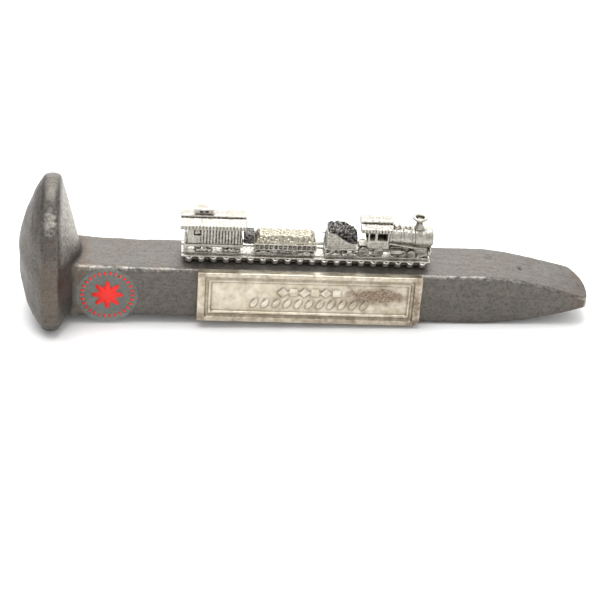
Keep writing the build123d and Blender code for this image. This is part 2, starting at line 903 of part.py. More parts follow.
wheel_places = (
    ("driving_wheels_rear", rear_driver_x, driver_z, driver_radius, driver_width),
    ("driving_wheels_front", front_driver_x, driver_z, driver_radius, driver_width),
    (
        "pilot_wheels_rear",
        pilot_middle_x - pilot_wheel_base / 2,
        pilot_axle_z,
        pilot_wheel_radius,
        truck_wheel_width,
    ),
    (
        "pilot_wheels_front",
        pilot_middle_x + pilot_wheel_base / 2,
        pilot_axle_z,
        pilot_wheel_radius,
        truck_wheel_width,
    ),
)

add_coupler("coupler_front", (tender_end, locomotive_start), tender_bottom + coupler_height / 2)

for name, x, axle_z, radius, width in wheel_places:
    with BuildPart() as wheels:
        outer = rail_middle + width / 2
        disc(x, (-outer, outer), axle_z, axle_radius)
        for side in (-1, 1):
            disc(x, sorted((side * (outer - width), side * outer)), axle_z, radius)
    keep(name, wheels)


def add_barrel(radius, x_range, mode=Mode.ADD):
    """Put a round barrel on the boiler's own axis into the part being built."""
    start, end = x_range
    with Locations(Location(((start + end) / 2, 0, boiler_z), (0, 90, 0))):
        return Cylinder(radius, end - start, mode=mode)


band_places = spread(boiler_range[0] + band_width, boiler_range[1] - band_width, band_count)

with BuildPart() as boiler:
    barrel_top = boiler_z + boiler_radius
    band_top = barrel_top + band_height
    profile = [(boiler_range[0], boiler_z), (boiler_range[0], barrel_top)]
    for x in band_places:
        band_start, band_end = x - band_width / 2, x + band_width / 2
        profile += [(band_start, barrel_top), (band_start, band_top)]
        profile += [(band_end, band_top), (band_end, barrel_top)]
    profile += [(boiler_range[1], barrel_top), (boiler_range[1], boiler_z)]
    with BuildSketch(Plane.XZ):
        with BuildLine():
            Polyline(*profile, close=True)
        make_face()
    revolve(axis=Axis((boiler_range[0], 0, boiler_z), (1, 0, 0)))
keep("boiler", boiler)

with BuildPart() as engine_frame:
    block(
        (locomotive_start, locomotive_end),
        (-engine_half, engine_half),
        (engine_bottom, engine_deck),
    )
    for name, x, axle_z, radius, width in wheel_places:
        disc(x, (-engine_half, engine_half), axle_z, axle_radius, Mode.SUBTRACT)
    block(cylinder_range, (-driver_outer, driver_outer), (saddle_bottom, saddle_top))
    add(boiler.part, mode=Mode.SUBTRACT)
    add_barrel(smokebox_radius, smokebox_range, Mode.SUBTRACT)
keep("engine_frame", engine_frame)

with BuildPart() as smokebox:
    add_barrel(smokebox_radius, smokebox_range)
keep("smokebox", smokebox)

with BuildPart() as smokebox_door:
    door_end = smokebox_range[1] + smokebox_door_thickness
    add_barrel(smokebox_door_radius, (smokebox_range[1], door_end))
    door_rim = smokebox_door.edges().group_by(Axis.X)[-1]
    fillet(door_rim, smokebox_door_thickness / 2)
keep("smokebox_door", smokebox_door)


stack_x = smokebox_range[0] + stack_setback
stack_foot = boiler_z
stack_neck_z = boiler_z + smokebox_radius + (stack_height - stack_dish_height) / 2
stack_top = boiler_z + smokebox_radius + stack_height

with BuildPart() as smokestack:
    with BuildSketch(Plane.XZ):
        with BuildLine():
            base = (stack_x + stack_base_radius, stack_foot)
            skirt = (stack_x + stack_base_radius, boiler_z + smokebox_radius)
            neck = (stack_x + stack_neck_radius, stack_neck_z)
            dish_foot = (stack_x + stack_dish_radius, stack_top - stack_dish_height / 2)
            dish_top = (stack_x + stack_dish_radius * 0.95, stack_top)
            bore_top = (stack_x + stack_bore_radius, stack_top)
            bore_foot = (stack_x + stack_bore_radius * 0.8, stack_top - stack_bore_depth)
            Polyline((stack_x, stack_foot), base, skirt, neck)
            Spline(neck, dish_foot, tangents=((0, 1), (1, 0.6)))
            Polyline(
                dish_foot,
                dish_top,
                bore_top,
                bore_foot,
                (stack_x, stack_top - stack_bore_depth),
                (stack_x, stack_foot),
            )
        make_face()
    revolve(axis=Axis((stack_x, 0, 0), (0, 0, 1)))
    add_barrel(boiler_radius + band_height, boiler_range, Mode.SUBTRACT)
    add_barrel(smokebox_radius, smokebox_range, Mode.SUBTRACT)
keep("smokestack", smokestack)

steam_dome_x = cab_range[1] + cab_roof_overhang + steam_dome_clearance + steam_dome_radius
sand_dome_x = (band_places[1] + band_places[2]) / 2
dome_places = (
    ("steam_dome", steam_dome_x, steam_dome_radius, steam_dome_height),
    ("sand_dome", sand_dome_x, sand_dome_radius, sand_dome_height),
)
for name, dome_x, radius, height in dome_places:
    with BuildPart() as dome_casting:
        dome_top = boiler_z + boiler_radius + height
        with Locations((dome_x, 0, (boiler_z + dome_top) / 2)):
            Cylinder(radius, dome_top - boiler_z)
        fillet(dome_casting.edges().group_by(Axis.Z)[-1], radius * 2 / 3)
        add(boiler.part, mode=Mode.SUBTRACT)
    keep(name, dome_casting)

with BuildPart() as cab:
    cab_rear, cab_front = cab_range
    block(cab_range, (-cab_half, cab_half), (cab_bottom, cab_eave))
    hollow_half = cab_half - cab_wall
    hollow_top = cab_eave - cab_wall
    block(
        (cab_rear, cab_front - cab_wall),
        (-hollow_half, hollow_half),
        (cab_bottom + cab_floor, hollow_top),
        Mode.SUBTRACT,
    )
    sill_z = cab_bottom + cab_window_sill
    window_rise = (sill_z, sill_z + cab_window_height)
    rear_opening = (cab_rear + cab_post, cab_rear + cab_post + cab_rear_window)
    front_opening = (cab_front - cab_post - cab_front_window, cab_front - cab_post)
    for opening in (rear_opening, front_opening):
        block(opening, (-2 * cab_half, 2 * cab_half), window_rise, Mode.SUBTRACT)
keep("cab", cab)

with BuildPart() as cab_roof:
    roof_start = cab_rear - cab_rear_overhang
    roof_end = cab_front + cab_roof_overhang
    cab_roof_half = cab_half + cab_eave_overhang
    with BuildSketch(Plane.YZ.offset(roof_start)):
        with BuildLine():
            cab_roof_points = roof_points(cab_eave, cab_roof_half, cab_roof_rise, cab_roof_crown)
            Polyline(*cab_roof_points, close=True)
        make_face()
    extrude(amount=roof_end - roof_start)
    rib_count = round(fascia_rib_count * (roof_end - roof_start) / caboose_length)
    add_roof_ribs((roof_start, roof_end), cab_roof_half, cab_eave, rib_count)
    add_barrel(boiler_radius + band_height, boiler_range, Mode.SUBTRACT)
keep("cab_roof", cab_roof)

for name, side in (("running_board_near", -1), ("running_board_far", 1)):
    with BuildPart() as running_board:
        board_start, board_end = board_range
        board_outer = smokebox_radius + running_board_width - running_board_tuck
        board_faces = sorted((side * (board_outer - 2 * running_board_width), side * board_outer))
        with BuildSketch(Plane.XZ.offset(-board_faces[0])):
            with BuildLine():
                low_z = board_z - running_board_drop
                Polyline(
                    (board_start, board_z),
                    (board_end, low_z),
                    (board_end, low_z - running_board_thickness),
                    (board_start, board_z - running_board_thickness),
                    close=True,
                )
            make_face()
        extrude(amount=board_faces[0] - board_faces[1])
        add_barrel(boiler_radius + band_height, boiler_range, Mode.SUBTRACT)
        add_barrel(smokebox_radius, smokebox_range, Mode.SUBTRACT)
    keep(name, running_board)

for name, side in (("cylinder_near", -1), ("cylinder_far", 1)):
    with BuildPart() as cylinder:
        cylinder_y = side * (driver_outer + cylinder_radius - cylinder_seat)
        with BuildSketch(Plane.YZ.offset(cylinder_range[0])):
            with Locations((cylinder_y, cylinder_z)):
                Circle(cylinder_radius)
            with Locations((0, cylinder_z)):
                Rectangle(2 * driver_outer, 2 * cylinder_radius, mode=Mode.SUBTRACT)
        extrude(amount=cylinder_length)
    keep(name, cylinder)

for name, side in (("side_rod_near", -1), ("side_rod_far", 1)):
    with BuildPart() as side_rod:
        rod_faces = sorted((side * driver_outer, side * (driver_outer + side_rod_thickness)))
        rod_middle = ((rear_driver_x + front_driver_x) / 2, driver_z - driver_radius / 3)
        with BuildSketch(Plane.XZ.offset(-rod_faces[0])):
            with Locations(rod_middle):
                SlotCenterToCenter(driver_spacing, side_rod_height)
        extrude(amount=rod_faces[0] - rod_faces[1])
    keep(name, side_rod)

with BuildPart() as buffer_beam:
    beam_start = locomotive_end
    beam_end = beam_start + buffer_beam_length
    half_beam = buffer_beam_width / 2
    block((beam_start, beam_end), (-half_beam, half_beam), (engine_bottom, boiler_z - smokebox_radius))
keep("buffer_beam", buffer_beam)

with BuildPart() as cowcatcher:
    toe = beam_end - cowcatcher_setback
    heel = toe - cowcatcher_length
    with BuildSketch(Plane.XY.offset(rail_top)):
        with BuildLine():
            Polyline(
                (heel, -cowcatcher_half_width),
                (toe, -cowcatcher_toe_width),
                (toe, cowcatcher_toe_width),
                (heel, cowcatcher_half_width),
                close=True,
            )
        make_face()
    extrude(amount=engine_bottom - rail_top, taper=cowcatcher_slope)
keep("cowcatcher", cowcatcher)

# ------------------------------------------------------ laid down, centred and written

rim_middle = (rim_near + rim_far) / 2
head_foot = head_section(rim_middle, bulge_share).bounding_box().min.Z
lean = degrees(atan2(-head_foot - shank_half, heel_x - rim_middle))
tipped = Location((0, 0, 0), (0, lean, 0))
boxes = [piece.part.moved(tipped).bounding_box() for piece in pieces]
middle_x = (min(box.min.X for box in boxes) + max(box.max.X for box in boxes)) / 2
middle_y = (min(box.min.Y for box in boxes) + max(box.max.Y for box in boxes)) / 2
table_z = min(box.min.Z for box in boxes)
resting = Location((-middle_x, -middle_y, -table_z)) * tipped

for piece in pieces:
    piece.part.move(resting)
    export_step(piece.part, f"parts/{piece.part.label}.step")
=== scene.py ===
"""Looks of a souvenir rail spike: a forged spike with a cast train, plaque and label.

Every piece is worked in the spike's own axes, in millimetres: X runs along the shank
from the underside of the head to the chisel edge, Y away from the plaque side and Z up
out of the face that carries the train. Finished pieces go into the row's frame in
metres.
"""

from __future__ import annotations

import logging
import math
from dataclasses import dataclass, field
from enum import Enum
from typing import Any, Sequence

import bpy
import numpy as np
from mathutils import Matrix, Vector


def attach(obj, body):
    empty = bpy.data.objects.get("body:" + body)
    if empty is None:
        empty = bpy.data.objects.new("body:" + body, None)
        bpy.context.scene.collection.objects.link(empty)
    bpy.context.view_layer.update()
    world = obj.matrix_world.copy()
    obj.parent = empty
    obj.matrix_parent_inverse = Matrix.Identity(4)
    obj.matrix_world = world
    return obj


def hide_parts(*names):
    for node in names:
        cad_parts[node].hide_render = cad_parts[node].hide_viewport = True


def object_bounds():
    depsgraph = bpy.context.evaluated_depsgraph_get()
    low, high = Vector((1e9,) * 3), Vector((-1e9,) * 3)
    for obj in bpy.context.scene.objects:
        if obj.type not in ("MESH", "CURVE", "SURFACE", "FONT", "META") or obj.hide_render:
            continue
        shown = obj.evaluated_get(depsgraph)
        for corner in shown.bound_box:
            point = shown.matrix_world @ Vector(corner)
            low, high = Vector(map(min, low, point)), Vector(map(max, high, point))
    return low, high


LOG = logging.getLogger("rail_spike")
MM = 0.001
BODY = "root"
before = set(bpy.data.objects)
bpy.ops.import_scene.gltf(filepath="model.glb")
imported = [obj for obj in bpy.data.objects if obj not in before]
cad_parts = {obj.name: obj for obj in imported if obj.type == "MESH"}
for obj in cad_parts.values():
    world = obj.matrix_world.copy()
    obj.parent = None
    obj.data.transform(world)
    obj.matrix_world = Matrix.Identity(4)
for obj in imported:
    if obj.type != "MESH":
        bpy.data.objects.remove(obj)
CAD_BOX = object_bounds()


# ------------------------------------------------------------------ colours and nodes


def linear(hex_colour: str) -> tuple[float, float, float, float]:
    """Turn an sRGB hex colour into a linear one.

    Args:
        hex_colour: Six hex digits after a hash.

    Returns:
        Red, green, blue and an alpha of one.
    """
    shares = [int(hex_colour[i : i + 2], 16) / 255 for i in (1, 3, 5)]
    bent = [s / 12.92 if s <= 0.04045 else ((s + 0.055) / 1.055) ** 2.4 for s in shares]
    return (*bent, 1.0)


def add_node(
    tree: bpy.types.NodeTree,
    kind: str,
    inputs: dict[str | int, Any] | None = None,
    **settings: Any,
) -> bpy.types.Node:
    """Add a node with its settings, values and links.

    Args:
        tree: The node tree that gets the node.
        kind: The node's type name.
        inputs: A value or an output socket for each input, by name or number.
        **settings: The node's own properties.

    Returns:
        The new node.
    """
    node = tree.nodes.new(kind)
    for name, value in settings.items():
        setattr(node, name, value)
    for key, value in (inputs or {}).items():
        if isinstance(value, bpy.types.NodeSocket):
            tree.links.new(value, node.inputs[key])
        else:
            node.inputs[key].default_value = value
    return node


def blank_material(name: str) -> tuple[bpy.types.Material, bpy.types.NodeTree]:
    """Make a node material with nothing in it.

    Args:
        name: The material's name.

    Returns:
        The material and its empty node tree.
    """
    material = bpy.data.materials.new(name)
    material.use_nodes = True
    material.node_tree.nodes.clear()
    return material, material.node_tree


def set_ramp(node: bpy.types.Node, stops: Sequence[tuple[float, str]]) -> None:
    """Give a colour ramp its stops.

    Args:
        node: The Color Ramp node.
        stops: A place between 0 and 1 and an sRGB hex colour for each stop.
    """
    ramp = node.color_ramp
    while len(ramp.elements) < len(stops):
        ramp.elements.new(0.5)
    for element, (place, colour) in zip(ramp.elements, stops):
        element.position = place
        element.color = linear(colour)


# --------------------------------------------------------------------------- finishes


@dataclass(frozen=True)
class ForgedSteel:
    """Hot-forged carbon steel: dark scale, rubbed bright along the edges with a painted edge
    highlight, a little rust.

    The scale is a dark, slightly brown skin with soft lumps and pits left by the hammer.
    Handling has rubbed it through on the edges, where grey steel shows, and the same bright grey
    paints a highlight along the rounded edges.
    """

    name: str = "forged_carbon_steel"
    scale: str = "#5f5d5a"
    scale_brown: str = "#6e6963"
    # Bare grey steel for worn edges, also used as the painted highlight along the rounded edges.
    bare_and_highlight: str = "#b4b0a8"
    rust: str = "#64503f"
    freckle: str = "#a8a39d"
    mottle_mm: float = 3.2
    streak_mm: float = 0.7
    streak_stretch: float = 0.12
    pit_mm: float = 0.55
    grain_mm: float = 0.16

    def build(self) -> bpy.types.Material:
        """Build the material.

        Returns:
            The forged steel material.
        """
        material, tree = blank_material(self.name)
        place = add_node(tree, "ShaderNodeTexCoord").outputs["Object"]
        relief = add_node(tree, "ShaderNodeAttribute", attribute_name="relief")
        rust = add_node(tree, "ShaderNodeAttribute", attribute_name="rust")
        # The rub mask: worn edges plus a painted highlight along the rounded edges.
        rub_and_highlight = add_node(tree, "ShaderNodeAttribute", attribute_name="rub_and_highlight")
        mottle = add_node(
            tree,
            "ShaderNodeTexNoise",
            {"Vector": place, "Scale": 1 / (self.mottle_mm * MM), "Detail": 6.0},
        )
        pits = add_node(
            tree,
            "ShaderNodeTexNoise",
            {"Vector": place, "Scale": 1 / (self.pit_mm * MM), "Detail": 4.0},
        )
        grain = add_node(
            tree,
            "ShaderNodeTexNoise",
            {"Vector": place, "Scale": 1 / (self.grain_mm * MM), "Detail": 2.0},
        )
        drawn_out = add_node(
            tree,
            "ShaderNodeMapping",
            {"Vector": place, "Scale": (self.streak_stretch, 1.0, 1.0)},
        )
        streaks = add_node(
            tree,
            "ShaderNodeTexNoise",
            {
                "Vector": drawn_out.outputs["Vector"],
                "Scale": 1 / (self.streak_mm * MM),
                "Detail": 4.0,
            },
        )
        skin = add_node(tree, "ShaderNodeValToRGB", {0: mottle.outputs["Fac"]})
        set_ramp(skin, ((0.3, self.scale), (0.62, self.scale_brown)))
        freckles = add_node(tree, "ShaderNodeValToRGB", {0: pits.outputs["Fac"]})
        set_ramp(freckles, ((0.36, self.freckle), (0.52, "#ffffff")))
        freckled = add_node(
            tree,
            "ShaderNodeMix",
            {"Factor": 0.45, 6: skin.outputs["Color"], 7: freckles.outputs["Color"]},
            data_type="RGBA",
            blend_type="MULTIPLY",
        )
        lines = add_node(tree, "ShaderNodeValToRGB", {0: streaks.outputs["Fac"]})
        set_ramp(lines, ((0.34, "#c2beb9"), (0.6, "#ffffff")))
        lined = add_node(
            tree,
            "ShaderNodeMix",
            {"Factor": 0.3, 6: freckled.outputs[2], 7: lines.outputs["Color"]},
            data_type="RGBA",
            blend_type="MULTIPLY",
        )
        # Where the rub mask is high the colour goes to bare grey: worn steel, and a painted
        # highlight along the rounded edges.
        worn = add_node(
            tree,
            "ShaderNodeMath",
            {0: rub_and_highlight.outputs["Fac"], 1: pits.outputs["Fac"]},
            operation="MULTIPLY_ADD",
        )
        worn.inputs[2].default_value = -0.12
        worn_and_highlight_share = add_node(
            tree,
            "ShaderNodeMapRange",
            {0: worn.outputs[0], 1: 0.0, 2: 0.4, 3: 0.0, 4: 1.0},
        )
        bared_and_highlit = add_node(
            tree,
            "ShaderNodeMix",
            {
                "Factor": worn_and_highlight_share.outputs[0],
                6: lined.outputs[2],
                7: linear(self.bare_and_highlight),
            },
            data_type="RGBA",
        )
        rusted_share = add_node(
            tree,
            "ShaderNodeMath",
            {0: rust.outputs["Fac"], 1: mottle.outputs["Fac"]},
            operation="MULTIPLY",
        )
        rusted = add_node(
            tree,
            "ShaderNodeMix",
            {
                "Factor": rusted_share.outputs[0],
                6: bared_and_highlit.outputs[2],
                7: linear(self.rust),
            },
            data_type="RGBA",
        )
        shade = add_node(
            tree,
            "ShaderNodeMapRange",
            {0: relief.outputs["Fac"], 1: -0.06, 2: 0.1, 3: 0.0, 4: 1.0},
        )
        shaded = add_node(
            tree,
            "ShaderNodeMix",
            {"Factor": 0.5, 6: rusted.outputs[2]},
            data_type="RGBA",
            blend_type="MULTIPLY",
        )
        hollow = add_node(tree, "ShaderNodeValToRGB", {0: shade.outputs[0]})
        set_ramp(hollow, ((0.35, "#ffffff"), (1.0, "#5f5a55")))
        tree.links.new(hollow.outputs["Color"], shaded.inputs[7])
        rough = add_node(
            tree,
            "ShaderNodeMapRange",
            {0: mottle.outputs["Fac"], 1: 0.3, 2: 0.7, 3: 0.38, 4: 0.56},
        )
        coarse_bump = add_node(
            tree,
            "ShaderNodeBump",
            {"Height": pits.outputs["Fac"], "Strength": 0.35, "Distance": 0.12 * MM},
        )
        bump = add_node(
            tree,
            "ShaderNodeBump",
            {
                "Height": grain.outputs["Fac"],
                "Strength": 0.3,
                "Distance": 0.05 * MM,
                "Normal": coarse_bump.outputs["Normal"],
            },
        )
        shader = add_node(
            tree,
            "ShaderNodeBsdfPrincipled",
            {
                "Base Color": shaded.outputs[2],
                "Metallic": 0.9,
                "Roughness": rough.outputs[0],
                "Normal": bump.outputs["Normal"],
            },
        )
        add_node(tree, "ShaderNodeOutputMaterial", {"Surface": shader.outputs[0]})
        return material


class Wash(Enum):
    """How much dark wash a casting was left with: colours of metal, film and recess."""

    BRIGHT = ("#b5b2aa", "#959084", "#38352f")
    PALE = ("#d2cec6", "#b0aca2", "#3a3833")
    GREY = ("#a19d95", "#77736a", "#292723")
    BLACK = ("#76736f", "#3a3837", "#121212")
    WARM = ("#d6cebd", "#b5aa94", "#6f6350")
    STRAW = ("#b6b1a1", "#a09a89", "#757060")


@dataclass(frozen=True)
class CastPewter:
    """Spun or slush cast pewter with an antique wash wiped off the high places.

    The high places are a soft satin grey, and the wash stays dark and dull in the
    recesses.
    """

    name: str
    wash: Wash
    tarnish: str = "#6f5d4c"
    tarnish_mm: float = 0.3
    recess_start: float = -0.004
    recess_full: float = 0.03
    mottle_mm: float = 1.1
    grain_mm: float = 0.22
    rough_low: float = 0.3
    rough_high: float = 0.5

    def build(self) -> bpy.types.Material:
        """Build the material.

        Returns:
            The cast pewter material.
        """
        metal, film, recess = self.wash.value
        material, tree = blank_material(self.name)
        place = add_node(tree, "ShaderNodeTexCoord").outputs["Object"]
        relief = add_node(tree, "ShaderNodeAttribute", attribute_name="relief")
        tarnish = add_node(tree, "ShaderNodeAttribute", attribute_name="rust")
        mottle = add_node(
            tree,
            "ShaderNodeTexNoise",
            {"Vector": place, "Scale": 1 / (self.mottle_mm * MM), "Detail": 5.0},
        )
        grain = add_node(
            tree,
            "ShaderNodeTexNoise",
            {"Vector": place, "Scale": 1 / (self.grain_mm * MM), "Detail": 3.0},
        )
        jitter = add_node(
            tree,
            "ShaderNodeMath",
            {0: grain.outputs["Fac"], 1: 0.02, 2: relief.outputs["Fac"]},
            operation="MULTIPLY_ADD",
        )
        depth = add_node(
            tree,
            "ShaderNodeMapRange",
            {
                0: jitter.outputs[0],
                1: self.recess_start + 0.01,
                2: self.recess_full + 0.01,
                3: 0.0,
                4: 1.0,
            },
        )
        skin = add_node(tree, "ShaderNodeValToRGB", {0: mottle.outputs["Fac"]})
        set_ramp(skin, ((0.35, metal), (0.72, film)))
        specks = add_node(
            tree,
            "ShaderNodeTexNoise",
            {"Vector": place, "Scale": 1 / (self.tarnish_mm * MM), "Detail": 3.0},
        )
        speck_share = add_node(
            tree,
            "ShaderNodeMapRange",
            {0: specks.outputs["Fac"], 1: 0.4, 2: 0.6, 3: 0.7, 4: 1.0},
        )
        tarnish_share = add_node(
            tree,
            "ShaderNodeMath",
            {0: tarnish.outputs["Fac"], 1: speck_share.outputs[0]},
            operation="MULTIPLY",
        )
        tarnished = add_node(
            tree,
            "ShaderNodeMix",
            {
                "Factor": tarnish_share.outputs[0],
                6: skin.outputs["Color"],
                7: linear(self.tarnish),
            },
            data_type="RGBA",
        )
        washed = add_node(
            tree,
            "ShaderNodeMix",
            {"Factor": depth.outputs[0], 6: tarnished.outputs[2], 7: linear(recess)},
            data_type="RGBA",
        )
        rough = add_node(
            tree,
            "ShaderNodeMapRange",
            {
                0: depth.outputs[0],
                1: 0.0,
                2: 1.0,
                3: self.rough_low,
                4: self.rough_high,
            },
        )
        bump = add_node(
            tree,
            "ShaderNodeBump",
            {"Height": grain.outputs["Fac"], "Strength": 0.3, "Distance": 0.05 * MM},
        )
        shader = add_node(
            tree,
            "ShaderNodeBsdfPrincipled",
            {
                "Base Color": washed.outputs[2],
                "Metallic": 0.85,
                "Roughness": rough.outputs[0],
                "Normal": bump.outputs["Normal"],
            },
        )
        add_node(tree, "ShaderNodeOutputMaterial", {"Surface": shader.outputs[0]})
        return material


@dataclass(frozen=True)
class ClearFilm:
    """Clear polyester label film: glossy, faintly milky, with fine scuffs."""

    name: str = "clear_polyester_film"
    tint: str = "#8f9890"
    scuff_mm: float = 0.8

    def build(self) -> bpy.types.Material:
        """Build the material.

        Returns:
            The film material.
        """
        material, tree = blank_material(self.name)
        place = add_node(tree, "ShaderNodeTexCoord").outputs["Object"]
        scuffs = add_node(
            tree,
            "ShaderNodeTexNoise",
            {"Vector": place, "Scale": 1 / (self.scuff_mm * MM), "Detail": 4.0},
        )
        rough = add_node(
            tree,
            "ShaderNodeMapRange",
            {0: scuffs.outputs["Fac"], 1: 0.3, 2: 0.7, 3: 0.12, 4: 0.3},
        )
        shader = add_node(
            tree,
            "ShaderNodeBsdfPrincipled",
            {
                "Base Color": linear(self.tint),
                "Roughness": rough.outputs[0],
                "IOR": 1.58,
                "Alpha": 0.28,
            },
        )
        add_node(tree, "ShaderNodeOutputMaterial", {"Surface": shader.outputs[0]})
        return material


@dataclass(frozen=True)
class RedInk:
    """Screen-printed red vinyl ink: flat, opaque and slightly satin, a bit uneven."""

    name: str = "red_screen_ink"
    full: str = "#f0271c"
    thin: str = "#e0352f"
    blotch_mm: float = 0.9

    def build(self) -> bpy.types.Material:
        """Build the material.

        Returns:
            The ink material.
        """
        material, tree = blank_material(self.name)
        place = add_node(tree, "ShaderNodeTexCoord").outputs["Object"]
        blotch = add_node(
            tree,
            "ShaderNodeTexNoise",
            {"Vector": place, "Scale": 1 / (self.blotch_mm * MM), "Detail": 4.0},
        )
        colour = add_node(tree, "ShaderNodeValToRGB", {0: blotch.outputs["Fac"]})
        set_ramp(colour, ((0.35, self.full), (0.7, self.thin)))
        shader = add_node(
            tree,
            "ShaderNodeBsdfPrincipled",
            {"Base Color": colour.outputs["Color"], "Roughness": 0.5, "IOR": 1.4},
        )
        add_node(tree, "ShaderNodeOutputMaterial", {"Surface": shader.outputs[0]})
        return material


@dataclass(frozen=True)
class CuredGlue:
    """Cured clear epoxy: a slightly yellow, glossy skin with small bubbles."""

    name: str = "cured_epoxy"
    clear: str = "#d8d3bf"
    cloudy: str = "#b9b196"
    bubble_mm: float = 0.4

    def build(self) -> bpy.types.Material:
        """Build the material.

        Returns:
            The glue material.
        """
        material, tree = blank_material(self.name)
        place = add_node(tree, "ShaderNodeTexCoord").outputs["Object"]
        bubbles = add_node(
            tree,
            "ShaderNodeTexNoise",
            {"Vector": place, "Scale": 1 / (self.bubble_mm * MM), "Detail": 3.0},
        )
        colour = add_node(tree, "ShaderNodeValToRGB", {0: bubbles.outputs["Fac"]})
        set_ramp(colour, ((0.35, self.clear), (0.7, self.cloudy)))
        shader = add_node(
            tree,
            "ShaderNodeBsdfPrincipled",
            {"Base Color": colour.outputs["Color"], "Roughness": 0.25, "IOR": 1.55},
        )
        add_node(tree, "ShaderNodeOutputMaterial", {"Surface": shader.outputs[0]})
        return material


@dataclass(frozen=True)
class PaperSweep:
    """Matt white background paper: pale, even, with a trace of fibre."""

    name: str = "background_paper"
    light: str = "#fbfbfb"
    dark: str = "#f6f6f6"
    fibre_mm: float = 9.0

    def build(self) -> bpy.types.Material:
        """Build the material.

        Returns:
            The paper material.
        """
        material, tree = blank_material(self.name)
        place = add_node(tree, "ShaderNodeTexCoord").outputs["Object"]
        fibre = add_node(
            tree,
            "ShaderNodeTexNoise",
            {"Vector": place, "Scale": 1 / (self.fibre_mm * MM)},
        )
        colour = add_node(tree, "ShaderNodeValToRGB", {0: fibre.outputs["Fac"]})
        set_ramp(colour, ((0.3, self.light), (0.7, self.dark)))
        shader = add_node(
            tree,
            "ShaderNodeBsdfPrincipled",
            {
                "Base Color": colour.outputs["Color"],
                "Roughness": 0.9,
                "Specular IOR Level": 0.0,
            },
        )
        add_node(tree, "ShaderNodeOutputMaterial", {"Surface": shader.outputs[0]})
        return material


@dataclass
class Paintbox:
    """Every finish, built once and shared by the pieces."""

    steel: bpy.types.Material = field(default_factory=lambda: ForgedSteel().build())
    bright: bpy.types.Material = field(
        default_factory=lambda: CastPewter("cast_pewter_bright", Wash.BRIGHT).build()
    )
    grey: bpy.types.Material = field(
        default_factory=lambda: CastPewter("cast_pewter_grey", Wash.GREY).build()
    )
    black: bpy.types.Material = field(
        default_factory=lambda: CastPewter("cast_pewter_blackened", Wash.BLACK).build()
    )
    pale: bpy.types.Material = field(
        default_factory=lambda: CastPewter("cast_pewter_pale", Wash.PALE).build()
    )
    plaque: bpy.types.Material = field(
        default_factory=lambda: CastPewter(
            "cast_pewter_plaque", Wash.WARM, recess_full=0.11, mottle_mm=2.6, grain_mm=0.35
        ).build()
    )
    straw: bpy.types.Material = field(
        default_factory=lambda: CastPewter("cast_pewter_straw", Wash.STRAW).build()
    )
    film: bpy.types.Material = field(default_factory=lambda: ClearFilm().build())
    ink: bpy.types.Material = field(default_factory=lambda: RedInk().build())
    glue: bpy.types.Material = field(default_factory=lambda: CuredGlue().build())
    paper: bpy.types.Material = field(default_factory=lambda: PaperSweep().build())


# ------------------------------------------------------------------------ mesh working


def lattice_noise(points: np.ndarray, cell: float, seed: int) -> np.ndarray:
    """Smooth gradient noise, the same on every run.

    Args:
        points: The places, one row each.
        cell: The distance between the noise's lattice points, in the same unit.
        seed: A number that picks the pattern.

    Returns:
        A value between about -1 and 1 for each place.
    """
    rng = np.random.default_rng(seed)
    table = rng.permutation(256)
    slopes = rng.normal(size=(256, 3))
    slopes /= np.linalg.norm(slopes, axis=1)[:, None]
    scaled = points / cell
    corner = np.floor(scaled).astype(int)
    inside = scaled - corner
    fade = inside**3 * (inside * (inside * 6 - 15) + 10)
    total = np.zeros(len(points))
    for step in np.ndindex(2, 2, 2):
        x, y, z = (corner + step).T & 255
        index = table[(table[(table[x] + y) & 255] + z) & 255]
        weight = np.prod(np.where(step, fade, 1 - fade), axis=1)
        total += weight * ((inside - step) * slopes[index]).sum(axis=1)
    return total * 1.7


@dataclass
class SpikeAxes:
    """The spike's own axes, found from the near rail, which runs along the shank.

    Attributes:
        rail: The name of the CAD node that is read.
        rail_middle: The rail's middle in the spike's own axes, in millimetres.
    """

    rail: str = "rail_near"
    rail_middle: tuple[float, float, float] = (49.2, -1.8, 7.475)
    to_row: np.ndarray = field(init=False)

    def __post_init__(self) -> None:
        """Work out the matrix from the spike's axes to the row's frame."""
        corners = np.array([v.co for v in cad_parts[self.rail].data.vertices])
        middle = (corners.max(axis=0) + corners.min(axis=0)) / 2
        ahead = corners[corners[:, 0] > middle[0]].mean(axis=0)
        behind = corners[corners[:, 0] < middle[0]].mean(axis=0)
        along = (ahead - behind) / np.linalg.norm(ahead - behind)
        across = np.array((0.0, 1.0, 0.0))
        up = np.cross(along, across)
        turn = np.column_stack((along, across, up))
        matrix = np.eye(4)
        matrix[:3, :3] = turn * MM
        matrix[:3, 3] = middle - turn @ (np.array(self.rail_middle) * MM)
        self.to_row = matrix

    def row(self, points: np.ndarray) -> np.ndarray:
        """Put points of the spike's axes into the row's frame."""
        return points @ self.to_row[:3, :3].T + self.to_row[:3, 3]

    def own(self, points: np.ndarray) -> np.ndarray:
        """Put points of the row's frame into the spike's axes."""
        return (points - self.to_row[:3, 3]) @ np.linalg.inv(self.to_row[:3, :3]).T


class Form(Enum):
    """The shape that a row or a pile repeats."""

    BAR = "bar"
    BALL = "ball"


